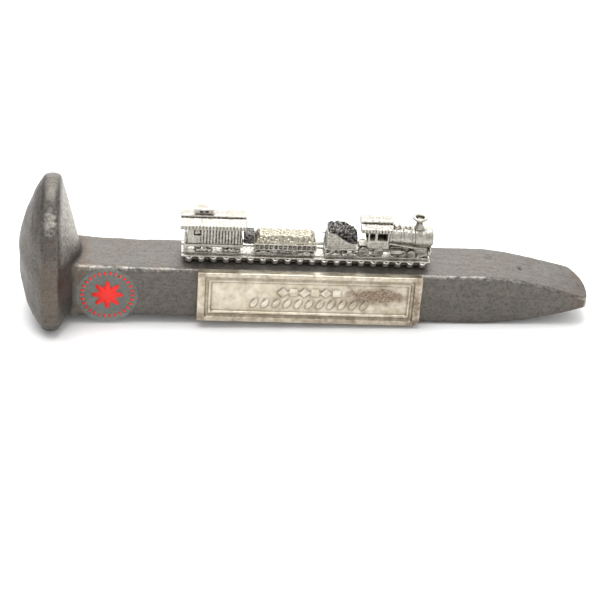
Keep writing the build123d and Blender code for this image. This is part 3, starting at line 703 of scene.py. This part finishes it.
@dataclass
class Workpiece:
    """A piece being worked as a mesh in the spike's own axes.

    Attributes:
        name: The finished piece's name.
        axes: The spike's axes.
        points: The vertices, in millimetres.
        faces: The corners of each face.
    """

    name: str
    axes: SpikeAxes
    points: np.ndarray = field(default_factory=lambda: np.zeros((0, 3)))
    faces: list[tuple[int, ...]] = field(default_factory=list)
    layers: dict[str, np.ndarray] = field(default_factory=dict)

    def add(self, points: np.ndarray, faces: Sequence[Sequence[int]]) -> None:
        """Add a closed shape.

        Args:
            points: Its vertices, in millimetres.
            faces: The corners of each of its faces.
        """
        first = len(self.points)
        self.points = np.vstack((self.points, np.asarray(points, float)))
        self.faces += [tuple(int(corner) + first for corner in face) for face in faces]

    def add_node_shape(self, node: str) -> None:
        """Add a copy of a CAD node's shape, with its doubled vertices merged."""
        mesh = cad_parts[node].data
        corners = self.axes.own(np.array([v.co for v in mesh.vertices]))
        _, kept, merged = np.unique(
            np.round(corners, 5), axis=0, return_index=True, return_inverse=True
        )
        merged = merged.ravel()
        faces = [tuple(merged[list(face.vertices)]) for face in mesh.polygons]
        self.add(corners[kept], [face for face in faces if len(set(face)) > 2])

    def add_object(self, piece: bpy.types.Object) -> None:
        """Add the shape of an object that was made in millimetres, and remove it."""
        mesh = piece.data
        self.add(
            np.array([v.co for v in mesh.vertices]),
            [tuple(face.vertices) for face in mesh.polygons],
        )
        bpy.data.objects.remove(piece)

    def mesh(self, points: np.ndarray) -> bpy.types.Mesh:
        """Make a mesh of the piece with its vertices at other points."""
        mesh = bpy.data.meshes.new(self.name)
        mesh.from_pydata(points.tolist(), [], self.faces)
        return mesh

    def remesh(self, voxel: float) -> None:
        """Join everything added so far into one even skin.

        Args:
            voxel: The size of the skin's faces, in millimetres.
        """
        rough = bpy.data.objects.new("rough", self.mesh(self.points))
        bpy.context.collection.objects.link(rough)
        skin = rough.modifiers.new("skin", "REMESH")
        skin.mode = "VOXEL"
        skin.voxel_size = voxel
        graph = bpy.context.evaluated_depsgraph_get()
        made = bpy.data.meshes.new_from_object(rough.evaluated_get(graph))
        self.points = np.zeros(len(made.vertices) * 3)
        made.vertices.foreach_get("co", self.points)
        self.points = self.points.reshape(-1, 3)
        self.faces = [tuple(face.vertices) for face in made.polygons]
        bpy.data.objects.remove(rough)
        bpy.data.meshes.remove(made)

    def edges(self) -> tuple[np.ndarray, np.ndarray]:
        """The two ends of every edge, each edge once in each direction."""
        quads = np.array(self.faces)
        pairs = [quads[:, [i, (i + 1) % quads.shape[1]]] for i in range(quads.shape[1])]
        both = np.vstack(pairs + [pair[:, ::-1] for pair in pairs])
        return both[:, 0], both[:, 1]

    def relaxed(self, points: np.ndarray, steps: int) -> np.ndarray:
        """Points after each has moved to its neighbours' middle a number of times."""
        start, end = self.edges()
        count = np.bincount(start, minlength=len(points))[:, None]
        for _ in range(steps):
            moved = [
                np.bincount(start, points[end, axis], minlength=len(points))
                for axis in range(3)
            ]
            points = 0.5 * points + 0.5 * np.column_stack(moved) / count
        return points

    def relax(self, steps: int) -> None:
        """Soften the corners, as a worn mould does."""
        self.points = self.relaxed(self.points, steps)

    def normals(self) -> np.ndarray:
        """Each vertex's outward direction."""
        quads = np.array(self.faces)
        across = self.points[quads[:, 2]] - self.points[quads[:, 0]]
        down = self.points[quads[:, 3 % quads.shape[1]]] - self.points[quads[:, 1]]
        facing = np.cross(across, down)
        total = np.zeros_like(self.points)
        for column in quads.T:
            for axis in range(3):
                total[:, axis] += np.bincount(
                    column, facing[:, axis], minlength=len(self.points)
                )
        return total / np.maximum(np.linalg.norm(total, axis=1), 1e-12)[:, None]

    def roughen(self, height: float, cell: float, seed: int) -> None:
        """Push the skin in and out by smooth noise.

        Args:
            height: The largest push, in millimetres.
            cell: The size of the lumps, in millimetres.
            seed: A number that picks the pattern.
        """
        push = lattice_noise(self.points, cell, seed) * height
        self.points = self.points + self.normals() * push[:, None]

    def measure_relief(self, steps: int) -> None:
        """Store how far each point lies below the softened skin around it."""
        below = self.relaxed(self.points, steps) - self.points
        self.layers["relief"] = (below * self.normals()).sum(axis=1)

    def finish(
        self, material: bpy.types.Material, nodes: Sequence[str]
    ) -> bpy.types.Object:
        """Turn the workpiece into a finished piece of the scene.

        Args:
            material: Its finish.
            nodes: The CAD nodes that it stands for.

        Returns:
            The finished object.
        """
        mesh = self.mesh(self.axes.row(self.points))
        mesh.polygons.foreach_set("use_smooth", [True] * len(mesh.polygons))
        for name, values in self.layers.items():
            layer = mesh.attributes.new(name, "FLOAT", "POINT")
            layer.data.foreach_set("value", values.astype(np.float32))
        mesh.materials.append(material)
        piece = bpy.data.objects.new(self.name, mesh)
        bpy.context.collection.objects.link(piece)
        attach(piece, BODY)
        if nodes:
            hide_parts(*nodes)
        LOG.info("%s: %d faces", self.name, len(self.faces))
        return piece


# --------------------------------------------------------------------- repeated shapes


@dataclass
class Repeater:
    """Geometry Nodes trees that repeat a shape, and the plain meshes made from them.

    Attributes:
        material: The finish that the repeated shapes are given.
    """

    material: bpy.types.Material

    def start_tree(
        self, name: str, sockets: Sequence[tuple[str, str]]
    ) -> tuple[bpy.types.NodeTree, bpy.types.Node]:
        """Begin a tree with named inputs and one geometry output.

        Args:
            name: The tree's name.
            sockets: The name and socket type of each input.

        Returns:
            The tree and its input node.
        """
        tree = bpy.data.node_groups.new(name, "GeometryNodeTree")
        for label, kind in sockets:
            tree.interface.new_socket(label, in_out="INPUT", socket_type=kind)
        tree.interface.new_socket(
            "Geometry", in_out="OUTPUT", socket_type="NodeSocketGeometry"
        )
        return tree, add_node(tree, "NodeGroupInput")

    def end_tree(
        self, tree: bpy.types.NodeTree, instances: bpy.types.NodeSocket
    ) -> None:
        """Realize the instances, give them their finish and send them out."""
        real = add_node(tree, "GeometryNodeRealizeInstances", {"Geometry": instances})
        dressed = add_node(
            tree,
            "GeometryNodeSetMaterial",
            {"Geometry": real.outputs["Geometry"], "Material": self.material},
        )
        add_node(tree, "NodeGroupOutput", {"Geometry": dressed.outputs["Geometry"]})

    def shape(self, tree: bpy.types.NodeTree, form: Form) -> bpy.types.NodeSocket:
        """The shape that is repeated, one unit across."""
        if form is Form.BAR:
            bar = add_node(tree, "GeometryNodeMeshCube", {"Size": (1.0, 1.0, 1.0)})
            return bar.outputs["Mesh"]
        ball = add_node(
            tree, "GeometryNodeMeshIcoSphere", {"Radius": 0.5, "Subdivisions": 2}
        )
        return ball.outputs["Mesh"]

    def made(
        self,
        tree: bpy.types.NodeTree,
        values: dict[str, Any],
        base: bpy.types.Mesh | None = None,
    ) -> bpy.types.Object:
        """Run a tree once and keep its result as a plain mesh.

        Args:
            tree: The finished tree.
            values: A value for each named input.
            base: The mesh that the tree works on, where it has one.

        Returns:
            An object with the result, in millimetres, with no modifier.
        """
        bench = bpy.data.objects.new(
            tree.name, base or bpy.data.meshes.new(tree.name + "_base")
        )
        bpy.context.collection.objects.link(bench)
        modifier = bench.modifiers.new("repeat", "NODES")
        modifier.node_group = tree
        for item in tree.interface.items_tree:
            if item.in_out == "INPUT" and item.name in values:
                modifier[item.identifier] = values[item.name]
        graph = bpy.context.evaluated_depsgraph_get()
        mesh = bpy.data.meshes.new_from_object(bench.evaluated_get(graph))
        bench.modifiers.remove(modifier)
        bpy.data.objects.remove(bench)
        piece = bpy.data.objects.new(tree.name, mesh)
        bpy.context.collection.objects.link(piece)
        return piece

    def ring(
        self, count: int, radius: float, size: Sequence[float]
    ) -> bpy.types.Object:
        """Bars set round a circle about the origin, in the XY plane.

        Args:
            count: How many there are.
            radius: The circle's radius, in millimetres.
            size: The length across the circle, the height and the length along it.

        Returns:
            An object with the ring in it.
        """
        tree, inputs = self.start_tree(
            "ring",
            (
                ("Count", "NodeSocketInt"),
                ("Radius", "NodeSocketFloat"),
                ("Size", "NodeSocketVector"),
            ),
        )
        circle = add_node(
            tree,
            "GeometryNodeCurvePrimitiveCircle",
            {"Radius": inputs.outputs["Radius"], "Resolution": 96},
        )
        points = add_node(
            tree,
            "GeometryNodeCurveToPoints",
            {"Curve": circle.outputs["Curve"], "Count": inputs.outputs["Count"]},
            mode="COUNT",
        )
        placed = add_node(
            tree,
            "GeometryNodeInstanceOnPoints",
            {
                "Points": points.outputs["Points"],
                "Instance": self.shape(tree, Form.BAR),
                "Rotation": points.outputs["Rotation"],
                "Scale": inputs.outputs["Size"],
            },
        )
        self.end_tree(tree, placed.outputs["Instances"])
        values = {"Count": count, "Radius": radius, "Size": tuple(size)}
        return self.made(tree, values)

    def pile(
        self,
        base: bpy.types.Mesh,
        density: float,
        smallest: float,
        largest: float,
        seed: int,
    ) -> bpy.types.Object:
        """Lumps scattered over a surface and turned at random.

        Args:
            base: The surface, in millimetres.
            density: Lumps to a square millimetre.
            smallest: The smallest lump's size.
            largest: The largest lump's size.
            seed: A number that picks the pattern.

        Returns:
            An object with the lumps in it.
        """
        tree, inputs = self.start_tree(
            "pile",
            (
                ("Surface", "NodeSocketGeometry"),
                ("Density", "NodeSocketFloat"),
                ("Smallest", "NodeSocketVector"),
                ("Largest", "NodeSocketVector"),
                ("Seed", "NodeSocketInt"),
            ),
        )
        spots = add_node(
            tree,
            "GeometryNodeDistributePointsOnFaces",
            {
                "Mesh": inputs.outputs["Surface"],
                "Density": inputs.outputs["Density"],
                "Seed": inputs.outputs["Seed"],
            },
        )
        turn = add_node(
            tree,
            "FunctionNodeRandomValue",
            {
                0: (0.0, 0.0, 0.0),
                1: (math.tau, math.tau, math.tau),
                "Seed": inputs.outputs["Seed"],
            },
            data_type="FLOAT_VECTOR",
        )
        size = add_node(
            tree,
            "FunctionNodeRandomValue",
            {
                0: inputs.outputs["Smallest"],
                1: inputs.outputs["Largest"],
                "Seed": inputs.outputs["Seed"],
            },
            data_type="FLOAT_VECTOR",
        )
        placed = add_node(
            tree,
            "GeometryNodeInstanceOnPoints",
            {
                "Points": spots.outputs["Points"],
                "Instance": self.shape(tree, Form.BALL),
                "Rotation": turn.outputs[0],
                "Scale": size.outputs[0],
            },
        )
        self.end_tree(tree, placed.outputs["Instances"])
        values = {
            "Density": density,
            "Smallest": (smallest,) * 3,
            "Largest": (largest,) * 3,
            "Seed": seed,
        }
        return self.made(tree, values, base)


# ----------------------------------------------------------------------- sub-assemblies


@dataclass
class Shop:
    """What every sub-assembly needs: the spike's axes, the finishes and the repeater."""

    axes: SpikeAxes
    paints: Paintbox
    repeater: Repeater

    def cast(
        self,
        node: str,
        material: bpy.types.Material,
        slot: str = "white_metal",
        extras: Sequence[bpy.types.Object] = (),
        voxel: float = 0.1,
        soften: int = 2,
        rough: float = 0.035,
        cell: float = 0.55,
        seed: int = 1,
        relief_steps: int = 14,
    ) -> bpy.types.Object:
        """Cast a CAD node in white metal, with soft corners and a slightly rough skin.

        Args:
            node: The CAD node whose shape is cast.
            material: Its finish.
            slot: A material slot name; not used.
            extras: More shapes that are cast with it.
            voxel: The size of the skin's faces, in millimetres.
            soften: How far the corners are worn.
            rough: The height of the skin's lumps, in millimetres.
            cell: The size of the lumps.
            seed: A number that picks the pattern of lumps.
            relief_steps: How wide a recess can be and still hold the dark wash.

        Returns:
            The finished object.
        """
        piece = Workpiece(f"cast_{node}", self.axes)
        piece.add_node_shape(node)
        for extra in extras:
            piece.add_object(extra)
        piece.remesh(voxel)
        piece.relax(soften)
        piece.roughen(rough, cell, seed)
        piece.roughen(rough * 0.4, cell * 0.4, seed + 100)
        piece.measure_relief(relief_steps)
        piece.layers["rust"] = np.zeros(len(piece.points))
        return piece.finish(material, [node])


@dataclass(frozen=True)
class Dent:
    """A dent, or a lump where it is negative, left by a blow or a chip.

    Attributes:
        place: Its middle in the spike's axes, in millimetres.
        radius: How far it reaches.
        depth: How deep it is.
    """

    place: tuple[float, float, float]
    radius: float
    depth: float


@dataclass
class ForgedSpike:
    """The spike itself: hammered head, square shank and chisel end."""

    shop: Shop
    voxel: float = 0.3
    soften: int = 3
    lump_height: float = 0.1
    lump_size: float = 7.0
    dome_height: float = 0.22
    dome_size: float = 5.0
    pit_height: float = 0.035
    pit_size: float = 1.6
    dents: tuple[Dent, ...] = (
        Dent((8.8, -6.5, 5.7), 1.3, 0.55),
        Dent((96.5, -0.5, 4.9), 0.8, 0.3),
        Dent((89.5, 2.0, 5.8), 1.4, 0.15),
        Dent((-8.0, 3.0, 17.0), 3.0, 0.25),
        Dent((-9.5, -5.0, 2.0), 3.4, 0.3),
        Dent((-7.5, -9.0, -2.0), 2.6, 0.25),
    )
    gall_middle: tuple[float, float, float] = (-5.1, -8.6, 17.6)
    gall_reach: tuple[float, float, float] = (1.5, 3.0, 3.4)
    gall_height: float = 0.14
    groove_height: float = 0.025
    # The front top edge of the shank, given a band of bare colour that is partly wear and partly
    # a painted highlight.
    edge_corner: tuple[float, float] = (-6.4, 5.95)
    edge_reach: float = 0.75
    head_start: float = -1.0
    head_fade: float = 3.0
    seat_middle: float = 50.0
    seat_half: float = 27.5
    seat_face: float = 5.0
    label_end: float = 15.0
    calm_share: float = 0.2
    ground_foot: float = 6.5
    ground_fade: float = 3.0
    rim_middle: float = -5.1

    def build(self) -> None:
        """Forge the spike."""
        piece = Workpiece("forged_spike", self.shop.axes)
        piece.add_node_shape("spike")
        piece.remesh(self.voxel)
        piece.relax(self.soften)
        x, y, z = piece.points.T
        head = np.clip((self.head_start - x) / self.head_fade, 0, 1)
        front = y < -self.seat_face
        seated = (np.abs(x - self.seat_middle) < self.seat_half) & ((z > self.seat_face) | front)
        labelled = (x > 0) & (x < self.label_end) & front
        calm = np.where(seated | labelled, self.calm_share, 1.0)
        normals = piece.normals()
        push = lattice_noise(piece.points, self.lump_size, 11) * self.lump_height
        push += lattice_noise(piece.points, self.dome_size, 12) * self.dome_height * head
        push += lattice_noise(piece.points, self.pit_size, 13) * self.pit_height
        drawn = piece.points * np.array((0.25, 1.0, 1.0))
        push += lattice_noise(drawn, 1.1, 15) * self.groove_height
        push *= calm
        from_gall = (piece.points - np.array(self.gall_middle)) / np.array(self.gall_reach)
        gall = np.exp(-(np.linalg.norm(from_gall, axis=1) ** 4))
        torn = lattice_noise(piece.points * np.array((0.5, 1.0, 1.4)), 0.8, 16)
        push += torn * self.gall_height * gall
        for dent in self.dents:
            away = np.linalg.norm(piece.points - np.array(dent.place), axis=1)
            push -= dent.depth * np.exp(-((away / dent.radius) ** 2) * 2)
        piece.points = piece.points + normals * push[:, None]
        lowest, highest = (np.array(corner) for corner in CAD_BOX)
        row = np.clip(self.shop.axes.row(piece.points), lowest, highest)
        piece.points = self.shop.axes.own(row)
        piece.measure_relief(10)
        relief = piece.layers["relief"]
        spots = np.clip(lattice_noise(piece.points, 0.8, 14) - 0.5, 0, 1)
        # Convex edges get the bare colour: edge wear, and also a painted highlight along the
        # rounded edges.
        edges = np.clip((-relief - 0.06) * 16, 0, 1) * (1 - 0.6 * head)
        # A chattered band along the front top edge: partly wear, partly a painted highlight on
        # that rounded edge.
        corner_y, corner_z = self.edge_corner
        from_corner = np.hypot(y - corner_y, z - corner_z) / self.edge_reach
        chatter = 0.75 + 0.45 * lattice_noise(piece.points, 1.3, 17)
        worn_edge_and_highlight = np.exp(-(from_corner**2)) * chatter * (x > 0.5)
        ground = np.clip((z - self.ground_foot) / self.ground_fade, 0, 1)
        ground *= np.clip(x + 3.6, 0, 1) * (x < 1.0)
        from_rim = x - self.rim_middle
        rim_foot = np.exp(-((from_rim / 1.6) ** 2) - ((z + 11.5) / 4.0) ** 2) * (y < 0)
        rim_foot *= np.clip(0.5 + lattice_noise(piece.points, 0.7, 18), 0, 1) * 0.7
        # The rub mask joins the gall, the ground patch and the rim scuffs with the edge bands,
        # whose bright colour is partly a painted highlight.
        rub_and_highlight = np.maximum.reduce((edges, gall * (0.7 + 0.4 * torn), worn_edge_and_highlight, ground * 0.8))
        piece.layers["rub_and_highlight"] = np.clip(np.maximum(rub_and_highlight, rim_foot) + spots, 0, 1)
        neck = np.exp(-(((x - 1.5) / 1.2) ** 2)) * 0.8
        tip = np.exp(-(((x - 110) / 3.0) ** 2)) * 0.5
        band = np.exp(-((from_rim / 2.2) ** 2) - ((z - 4.0) / 9.0) ** 2) * (y < 0) * 0.7
        piece.layers["rust"] = np.clip(neck + tip + band, 0, 1)
        piece.finish(self.shop.paints.steel, ["spike"])


@dataclass
class CastPlaque:
    """The framed plaque on the front of the shank, and the glue behind it."""

    shop: Shop
    voxel: float = 0.14
    tarnish_middle: tuple[float, float] = (64.5, 1.2)
    tarnish_reach: tuple[float, float] = (6.0, 2.3)

    def build(self) -> None:
        """Cast the plaque and dress the glue."""
        piece = Workpiece("cast_plaque", self.shop.axes)
        piece.add_node_shape("plaque")
        piece.remesh(self.voxel)
        piece.relax(5)
        piece.roughen(0.03, 1.2, 21)
        piece.roughen(0.012, 0.4, 22)
        piece.measure_relief(16)
        x, _, z = piece.points.T
        middle_x, middle_z = self.tarnish_middle
        reach_x, reach_z = self.tarnish_reach
        away = ((x - middle_x) / reach_x) ** 2 + ((z - middle_z) / reach_z) ** 2
        cloud = lattice_noise(piece.points, 2.5, 23) + lattice_noise(piece.points, 0.9, 24)
        foot = np.exp(-(((z + 4.9) / 0.9) ** 2)) * 0.5
        top = np.exp(-(((z - 5.7) / 0.8) ** 2)) * 0.3
        sides = np.exp(-(((x - 73.2) / 1.1) ** 2)) * 0.6
        sides += np.exp(-(((x - 27.0) / 1.0) ** 2)) * 0.3
        stain = 1.5 * np.exp(-away) + foot + top + sides + 0.35 * cloud
        piece.layers["rust"] = np.clip(stain, 0, 1)
        piece.finish(self.shop.paints.plaque, ["plaque"])
        for node in ("plaque_glue", "train_glue"):
            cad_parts[node].data.materials.clear()
            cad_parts[node].data.materials.append(self.shop.paints.glue)


@dataclass
class RoundLabel:
    """The clear round label with its red print."""

    shop: Shop
    centre: tuple[float, float] = (6.8, -0.85)
    film_thickness: float = 0.12
    ink_thickness: float = 0.03
    shank_half: float = 6.4
    flare_length: float = 14.0
    flare_rise: float = 0.4
    rosette_radius: float = 2.7
    rosette_depth: float = 0.75
    petals: int = 8
    dash_radius: float = 5.4
    dash_count: int = 30
    dash_size: tuple[float, float, float] = (0.8, 0.1, 0.42)

    def surface(self, x: np.ndarray) -> np.ndarray:
        """How far the outside of the film stands from the shank's axis at x."""
        radius = (self.flare_length**2 + self.flare_rise**2) / (2 * self.flare_rise)
        inward = np.clip(self.flare_length - x, 0, None)
        reach = radius - self.film_thickness
        return self.shank_half + radius - np.sqrt(reach**2 - inward**2)

    def lay(self, flat: np.ndarray) -> np.ndarray:
        """Lay flat points, with their height as the third number, on the film."""
        x = self.centre[0] + flat[:, 0]
        z = self.centre[1] + flat[:, 1]
        return np.column_stack((x, -self.surface(x) - flat[:, 2], z))

    def build(self) -> None:
        """Dress the film and print on it."""
        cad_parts["round_label"].data.materials.clear()
        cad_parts["round_label"].data.materials.append(self.shop.paints.film)
        ink = Workpiece("label_print", self.shop.axes)
        dashes = self.shop.repeater.ring(self.dash_count, self.dash_radius, self.dash_size)
        flat = np.array([v.co for v in dashes.data.vertices])
        flat[:, 2] = np.where(flat[:, 2] > 0, self.ink_thickness, 0.005)
        faces = [tuple(face.vertices) for face in dashes.data.polygons]
        ink.add(self.lay(flat), faces)
        bpy.data.objects.remove(dashes)
        count = 96
        angles = np.arange(count) * math.tau / count
        radii = self.rosette_radius + self.rosette_depth * np.cos(self.petals * angles)
        rim = np.column_stack((radii * np.cos(angles), radii * np.sin(angles)))
        top = np.column_stack((rim, np.full(count, self.ink_thickness)))
        bottom = np.column_stack((rim, np.full(count, 0.005)))
        centre = np.array([[0, 0, self.ink_thickness], [0, 0, 0.005]])
        rosette = [(i, (i + 1) % count, 2 * count) for i in range(count)]
        rosette += [((i + 1) % count + count, i + count, 2 * count + 1) for i in range(count)]
        rosette += [
            ((i + 1) % count, i, i + count, (i + 1) % count + count) for i in range(count)
        ]
        ink.add(self.lay(np.vstack((top, bottom, centre))), rosette)
        ink.finish(self.shop.paints.ink, [])


@dataclass
class Track:
    """The ties, the bed and the two rails."""

    shop: Shop

    def build(self) -> None:
        """Cast the track."""
        self.shop.cast("track_base", self.shop.paints.pale, voxel=0.12, seed=31)
        for seed, node in enumerate(("rail_near", "rail_far")):
            self.shop.cast(node, self.shop.paints.pale, rough=0.05, seed=33 + seed)


@dataclass
class Caboose:
    """The caboose at the head end of the train."""

    shop: Shop

    def build(self) -> None:
        """Cast the caboose."""
        shop, paints = self.shop, self.shop.paints
        for seed, node in enumerate(("caboose_truck_rear", "caboose_truck_front")):
            shop.cast(node, paints.pale, rough=0.09, seed=41 + seed)
        shop.cast("caboose_frame", paints.bright, seed=43)
        shop.cast("caboose_body", paints.bright, seed=44)
        shop.cast("caboose_roof", paints.bright, rough=0.02, seed=45)
        shop.cast("caboose_cupola", paints.grey, seed=46)
        shop.cast("caboose_cupola_roof", paints.bright, rough=0.02, seed=47)
        for seed, node in enumerate(("caboose_railing_rear", "caboose_railing_front")):
            shop.cast(node, paints.bright, seed=48 + seed)


@dataclass
class Gondola:
    """The open car with its rough load, and the dark block behind it."""

    shop: Shop
    stone_density: float = 7.0
    smallest_stone: float = 0.25
    largest_stone: float = 0.55

    def build(self) -> None:
        """Cast the gondola."""
        shop, paints = self.shop, self.shop.paints
        shop.cast("coupler_rear", paints.grey, seed=51)
        shop.cast("gondola_end_block", paints.black, "dark_white_metal", rough=0.12, seed=52)
        for seed, node in enumerate(("gondola_truck_rear", "gondola_truck_front")):
            shop.cast(node, paints.pale, rough=0.09, seed=53 + seed)
        shop.cast("gondola_frame", paints.grey, seed=55)
        shop.cast("gondola_body", paints.bright, seed=56)
        surface = Workpiece("load_surface", shop.axes)
        surface.add_node_shape("gondola_load")
        stones = shop.repeater.pile(
            surface.mesh(surface.points),
            self.stone_density,
            self.smallest_stone,
            self.largest_stone,
            57,
        )
        shop.cast(
            "gondola_load", paints.straw, extras=[stones], rough=0.03, soften=6, seed=58
        )


@dataclass
class Tender:
    """The coal tender."""

    shop: Shop
    coal_density: float = 4.0
    smallest_coal: float = 0.35
    largest_coal: float = 0.9

    def build(self) -> None:
        """Cast the tender."""
        shop, paints = self.shop, self.shop.paints
        shop.cast("coupler_middle", paints.grey, seed=61)
        for seed, node in enumerate(("tender_truck_rear", "tender_truck_front")):
            shop.cast(node, paints.pale, rough=0.09, seed=62 + seed)
        shop.cast("tender_frame", paints.bright, seed=64)
        shop.cast("tender_tank", paints.bright, seed=65)
        surface = Workpiece("coal_surface", shop.axes)
        surface.add_node_shape("tender_coal")
        lumps = shop.repeater.pile(
            surface.mesh(surface.points),
            self.coal_density,
            self.smallest_coal,
            self.largest_coal,
            66,
        )
        shop.cast(
            "tender_coal",
            paints.black,
            "dark_white_metal",
            extras=[lumps],
            rough=0.08,
            soften=1,
            seed=67,
        )
        shop.cast("tender_brake_wheel", paints.bright, seed=68)


@dataclass
class Locomotive:
    """The steam locomotive."""

    shop: Shop
    plain: tuple[str, ...] = (
        "coupler_front",
        "engine_frame",
        "driving_wheels_rear",
        "driving_wheels_front",
        "pilot_wheels_rear",
        "pilot_wheels_front",
        "side_rod_near",
        "side_rod_far",
        "cylinder_near",
        "cylinder_far",
        "boiler",
        "smokebox",
        "smokebox_door",
        "smokestack",
        "steam_dome",
        "sand_dome",
        "cab",
        "cab_roof",
        "running_board_near",
        "running_board_far",
        "buffer_beam",
        "cowcatcher",
    )

    def build(self) -> None:
        """Cast the locomotive."""
        for seed, node in enumerate(self.plain):
            self.shop.cast(node, self.shop.paints.bright, seed=70 + seed)


@dataclass
class Studio:
    """The paper sweep, the lights and the camera."""

    axes: SpikeAxes
    paints: Paintbox
    camera_offset: tuple[float, float, float] = (23.69, -353.1, 221.18)
    camera_pitch: float = 32.74
    camera_yaw: float = -4.04
    camera_roll: float = 2.44
    lens: float = 114.96
    floor_size: float = 3.0
    dark_side: float = 0.35

    def build(self) -> None:
        """Set up the studio."""
        self.lay_paper()
        self.hang_lights()
        self.place_camera()

    def lay_paper(self) -> None:
        """Lay the paper that the spike stands on."""
        half = self.floor_size / 2
        mesh = bpy.data.meshes.new("paper_sweep")
        corners = [(-half, -half, 0), (half, -half, 0), (half, half, 0), (-half, half, 0)]
        mesh.from_pydata(corners, [], [(0, 1, 2, 3)])
        mesh.materials.append(self.paints.paper)
        paper = bpy.data.objects.new("paper_sweep", mesh)
        bpy.context.collection.objects.link(paper)

    def hang_lights(self) -> None:
        """Hang the softboxes and light the room."""
        world = bpy.data.worlds.new("white_room")
        world.use_nodes = True
        tree = world.node_tree
        tree.nodes.clear()
        direction = add_node(tree, "ShaderNodeTexCoord").outputs["Generated"]
        across = add_node(tree, "ShaderNodeSeparateXYZ", {"Vector": direction})
        fall = add_node(
            tree,
            "ShaderNodeMapRange",
            {0: across.outputs["X"], 1: -0.9, 2: -0.2, 3: self.dark_side, 4: 1.0},
        )
        room = add_node(
            tree,
            "ShaderNodeBackground",
            {"Color": (1, 1, 1, 1), "Strength": fall.outputs[0]},
        )
        add_node(tree, "ShaderNodeOutputWorld", {"Surface": room.outputs[0]})
        bpy.context.scene.world = world
        boxes = (
            ("back_softbox", (0.05, 0.75, 0.5), 1.0, 6.0),
            ("top_softbox", (-0.1, 0.05, 0.9), 0.6, 6.0),
        )
        for name, place, size, power in boxes:
            light = bpy.data.lights.new(name, "AREA")
            light.shape = "SQUARE"
            light.size = size
            light.energy = power
            lamp = bpy.data.objects.new(name, light)
            lamp.location = place
            aim = -Vector(place)
            lamp.rotation_euler = aim.to_track_quat("-Z", "Y").to_euler()
            bpy.context.collection.objects.link(lamp)

    def place_camera(self) -> None:
        """Stand the camera where the spike is seen from its front, a little to the left."""
        pitch, yaw, roll = (
            math.radians(angle)
            for angle in (self.camera_pitch, self.camera_yaw, self.camera_roll)
        )
        right = Vector((math.cos(yaw), math.sin(yaw), 0))
        ahead = Vector((-math.sin(yaw), math.cos(yaw), 0))
        up = Vector((0, 0, 1))
        view = ahead * math.cos(pitch) - up * math.sin(pitch)
        top = up * math.cos(pitch) + ahead * math.sin(pitch)
        rolled_right = right * math.cos(roll) + top * math.sin(roll)
        rolled_top = top * math.cos(roll) - right * math.sin(roll)
        turn = Matrix((rolled_right, rolled_top, -view)).transposed()
        data = bpy.data.cameras.new("camera")
        data.lens = self.lens
        data.sensor_width = 36.0
        data.clip_start = 0.01
        camera = bpy.data.objects.new("camera", data)
        head = self.axes.row(np.zeros((1, 3)))[0]
        place = Vector(head) + Vector(self.camera_offset) * MM
        camera.matrix_world = Matrix.Translation(place) @ turn.to_4x4()
        bpy.context.collection.objects.link(camera)
        bpy.context.scene.camera = camera
        bpy.context.scene.view_settings.view_transform = "Standard"


def main() -> None:
    """Build every piece in order."""
    logging.basicConfig(level=logging.INFO, format="%(message)s")
    paints = Paintbox()
    axes = SpikeAxes()
    shop = Shop(axes, paints, Repeater(paints.bright))
    Studio(axes, paints).build()
    builders = (
        ForgedSpike(shop),
        CastPlaque(shop),
        RoundLabel(shop),
        Track(shop),
        Caboose(shop),
        Gondola(shop),
        Tender(shop),
        Locomotive(shop),
    )
    for builder in builders:
        builder.build()
        LOG.info("%s done", type(builder).__name__)


if __name__ == "__main__":
    main()
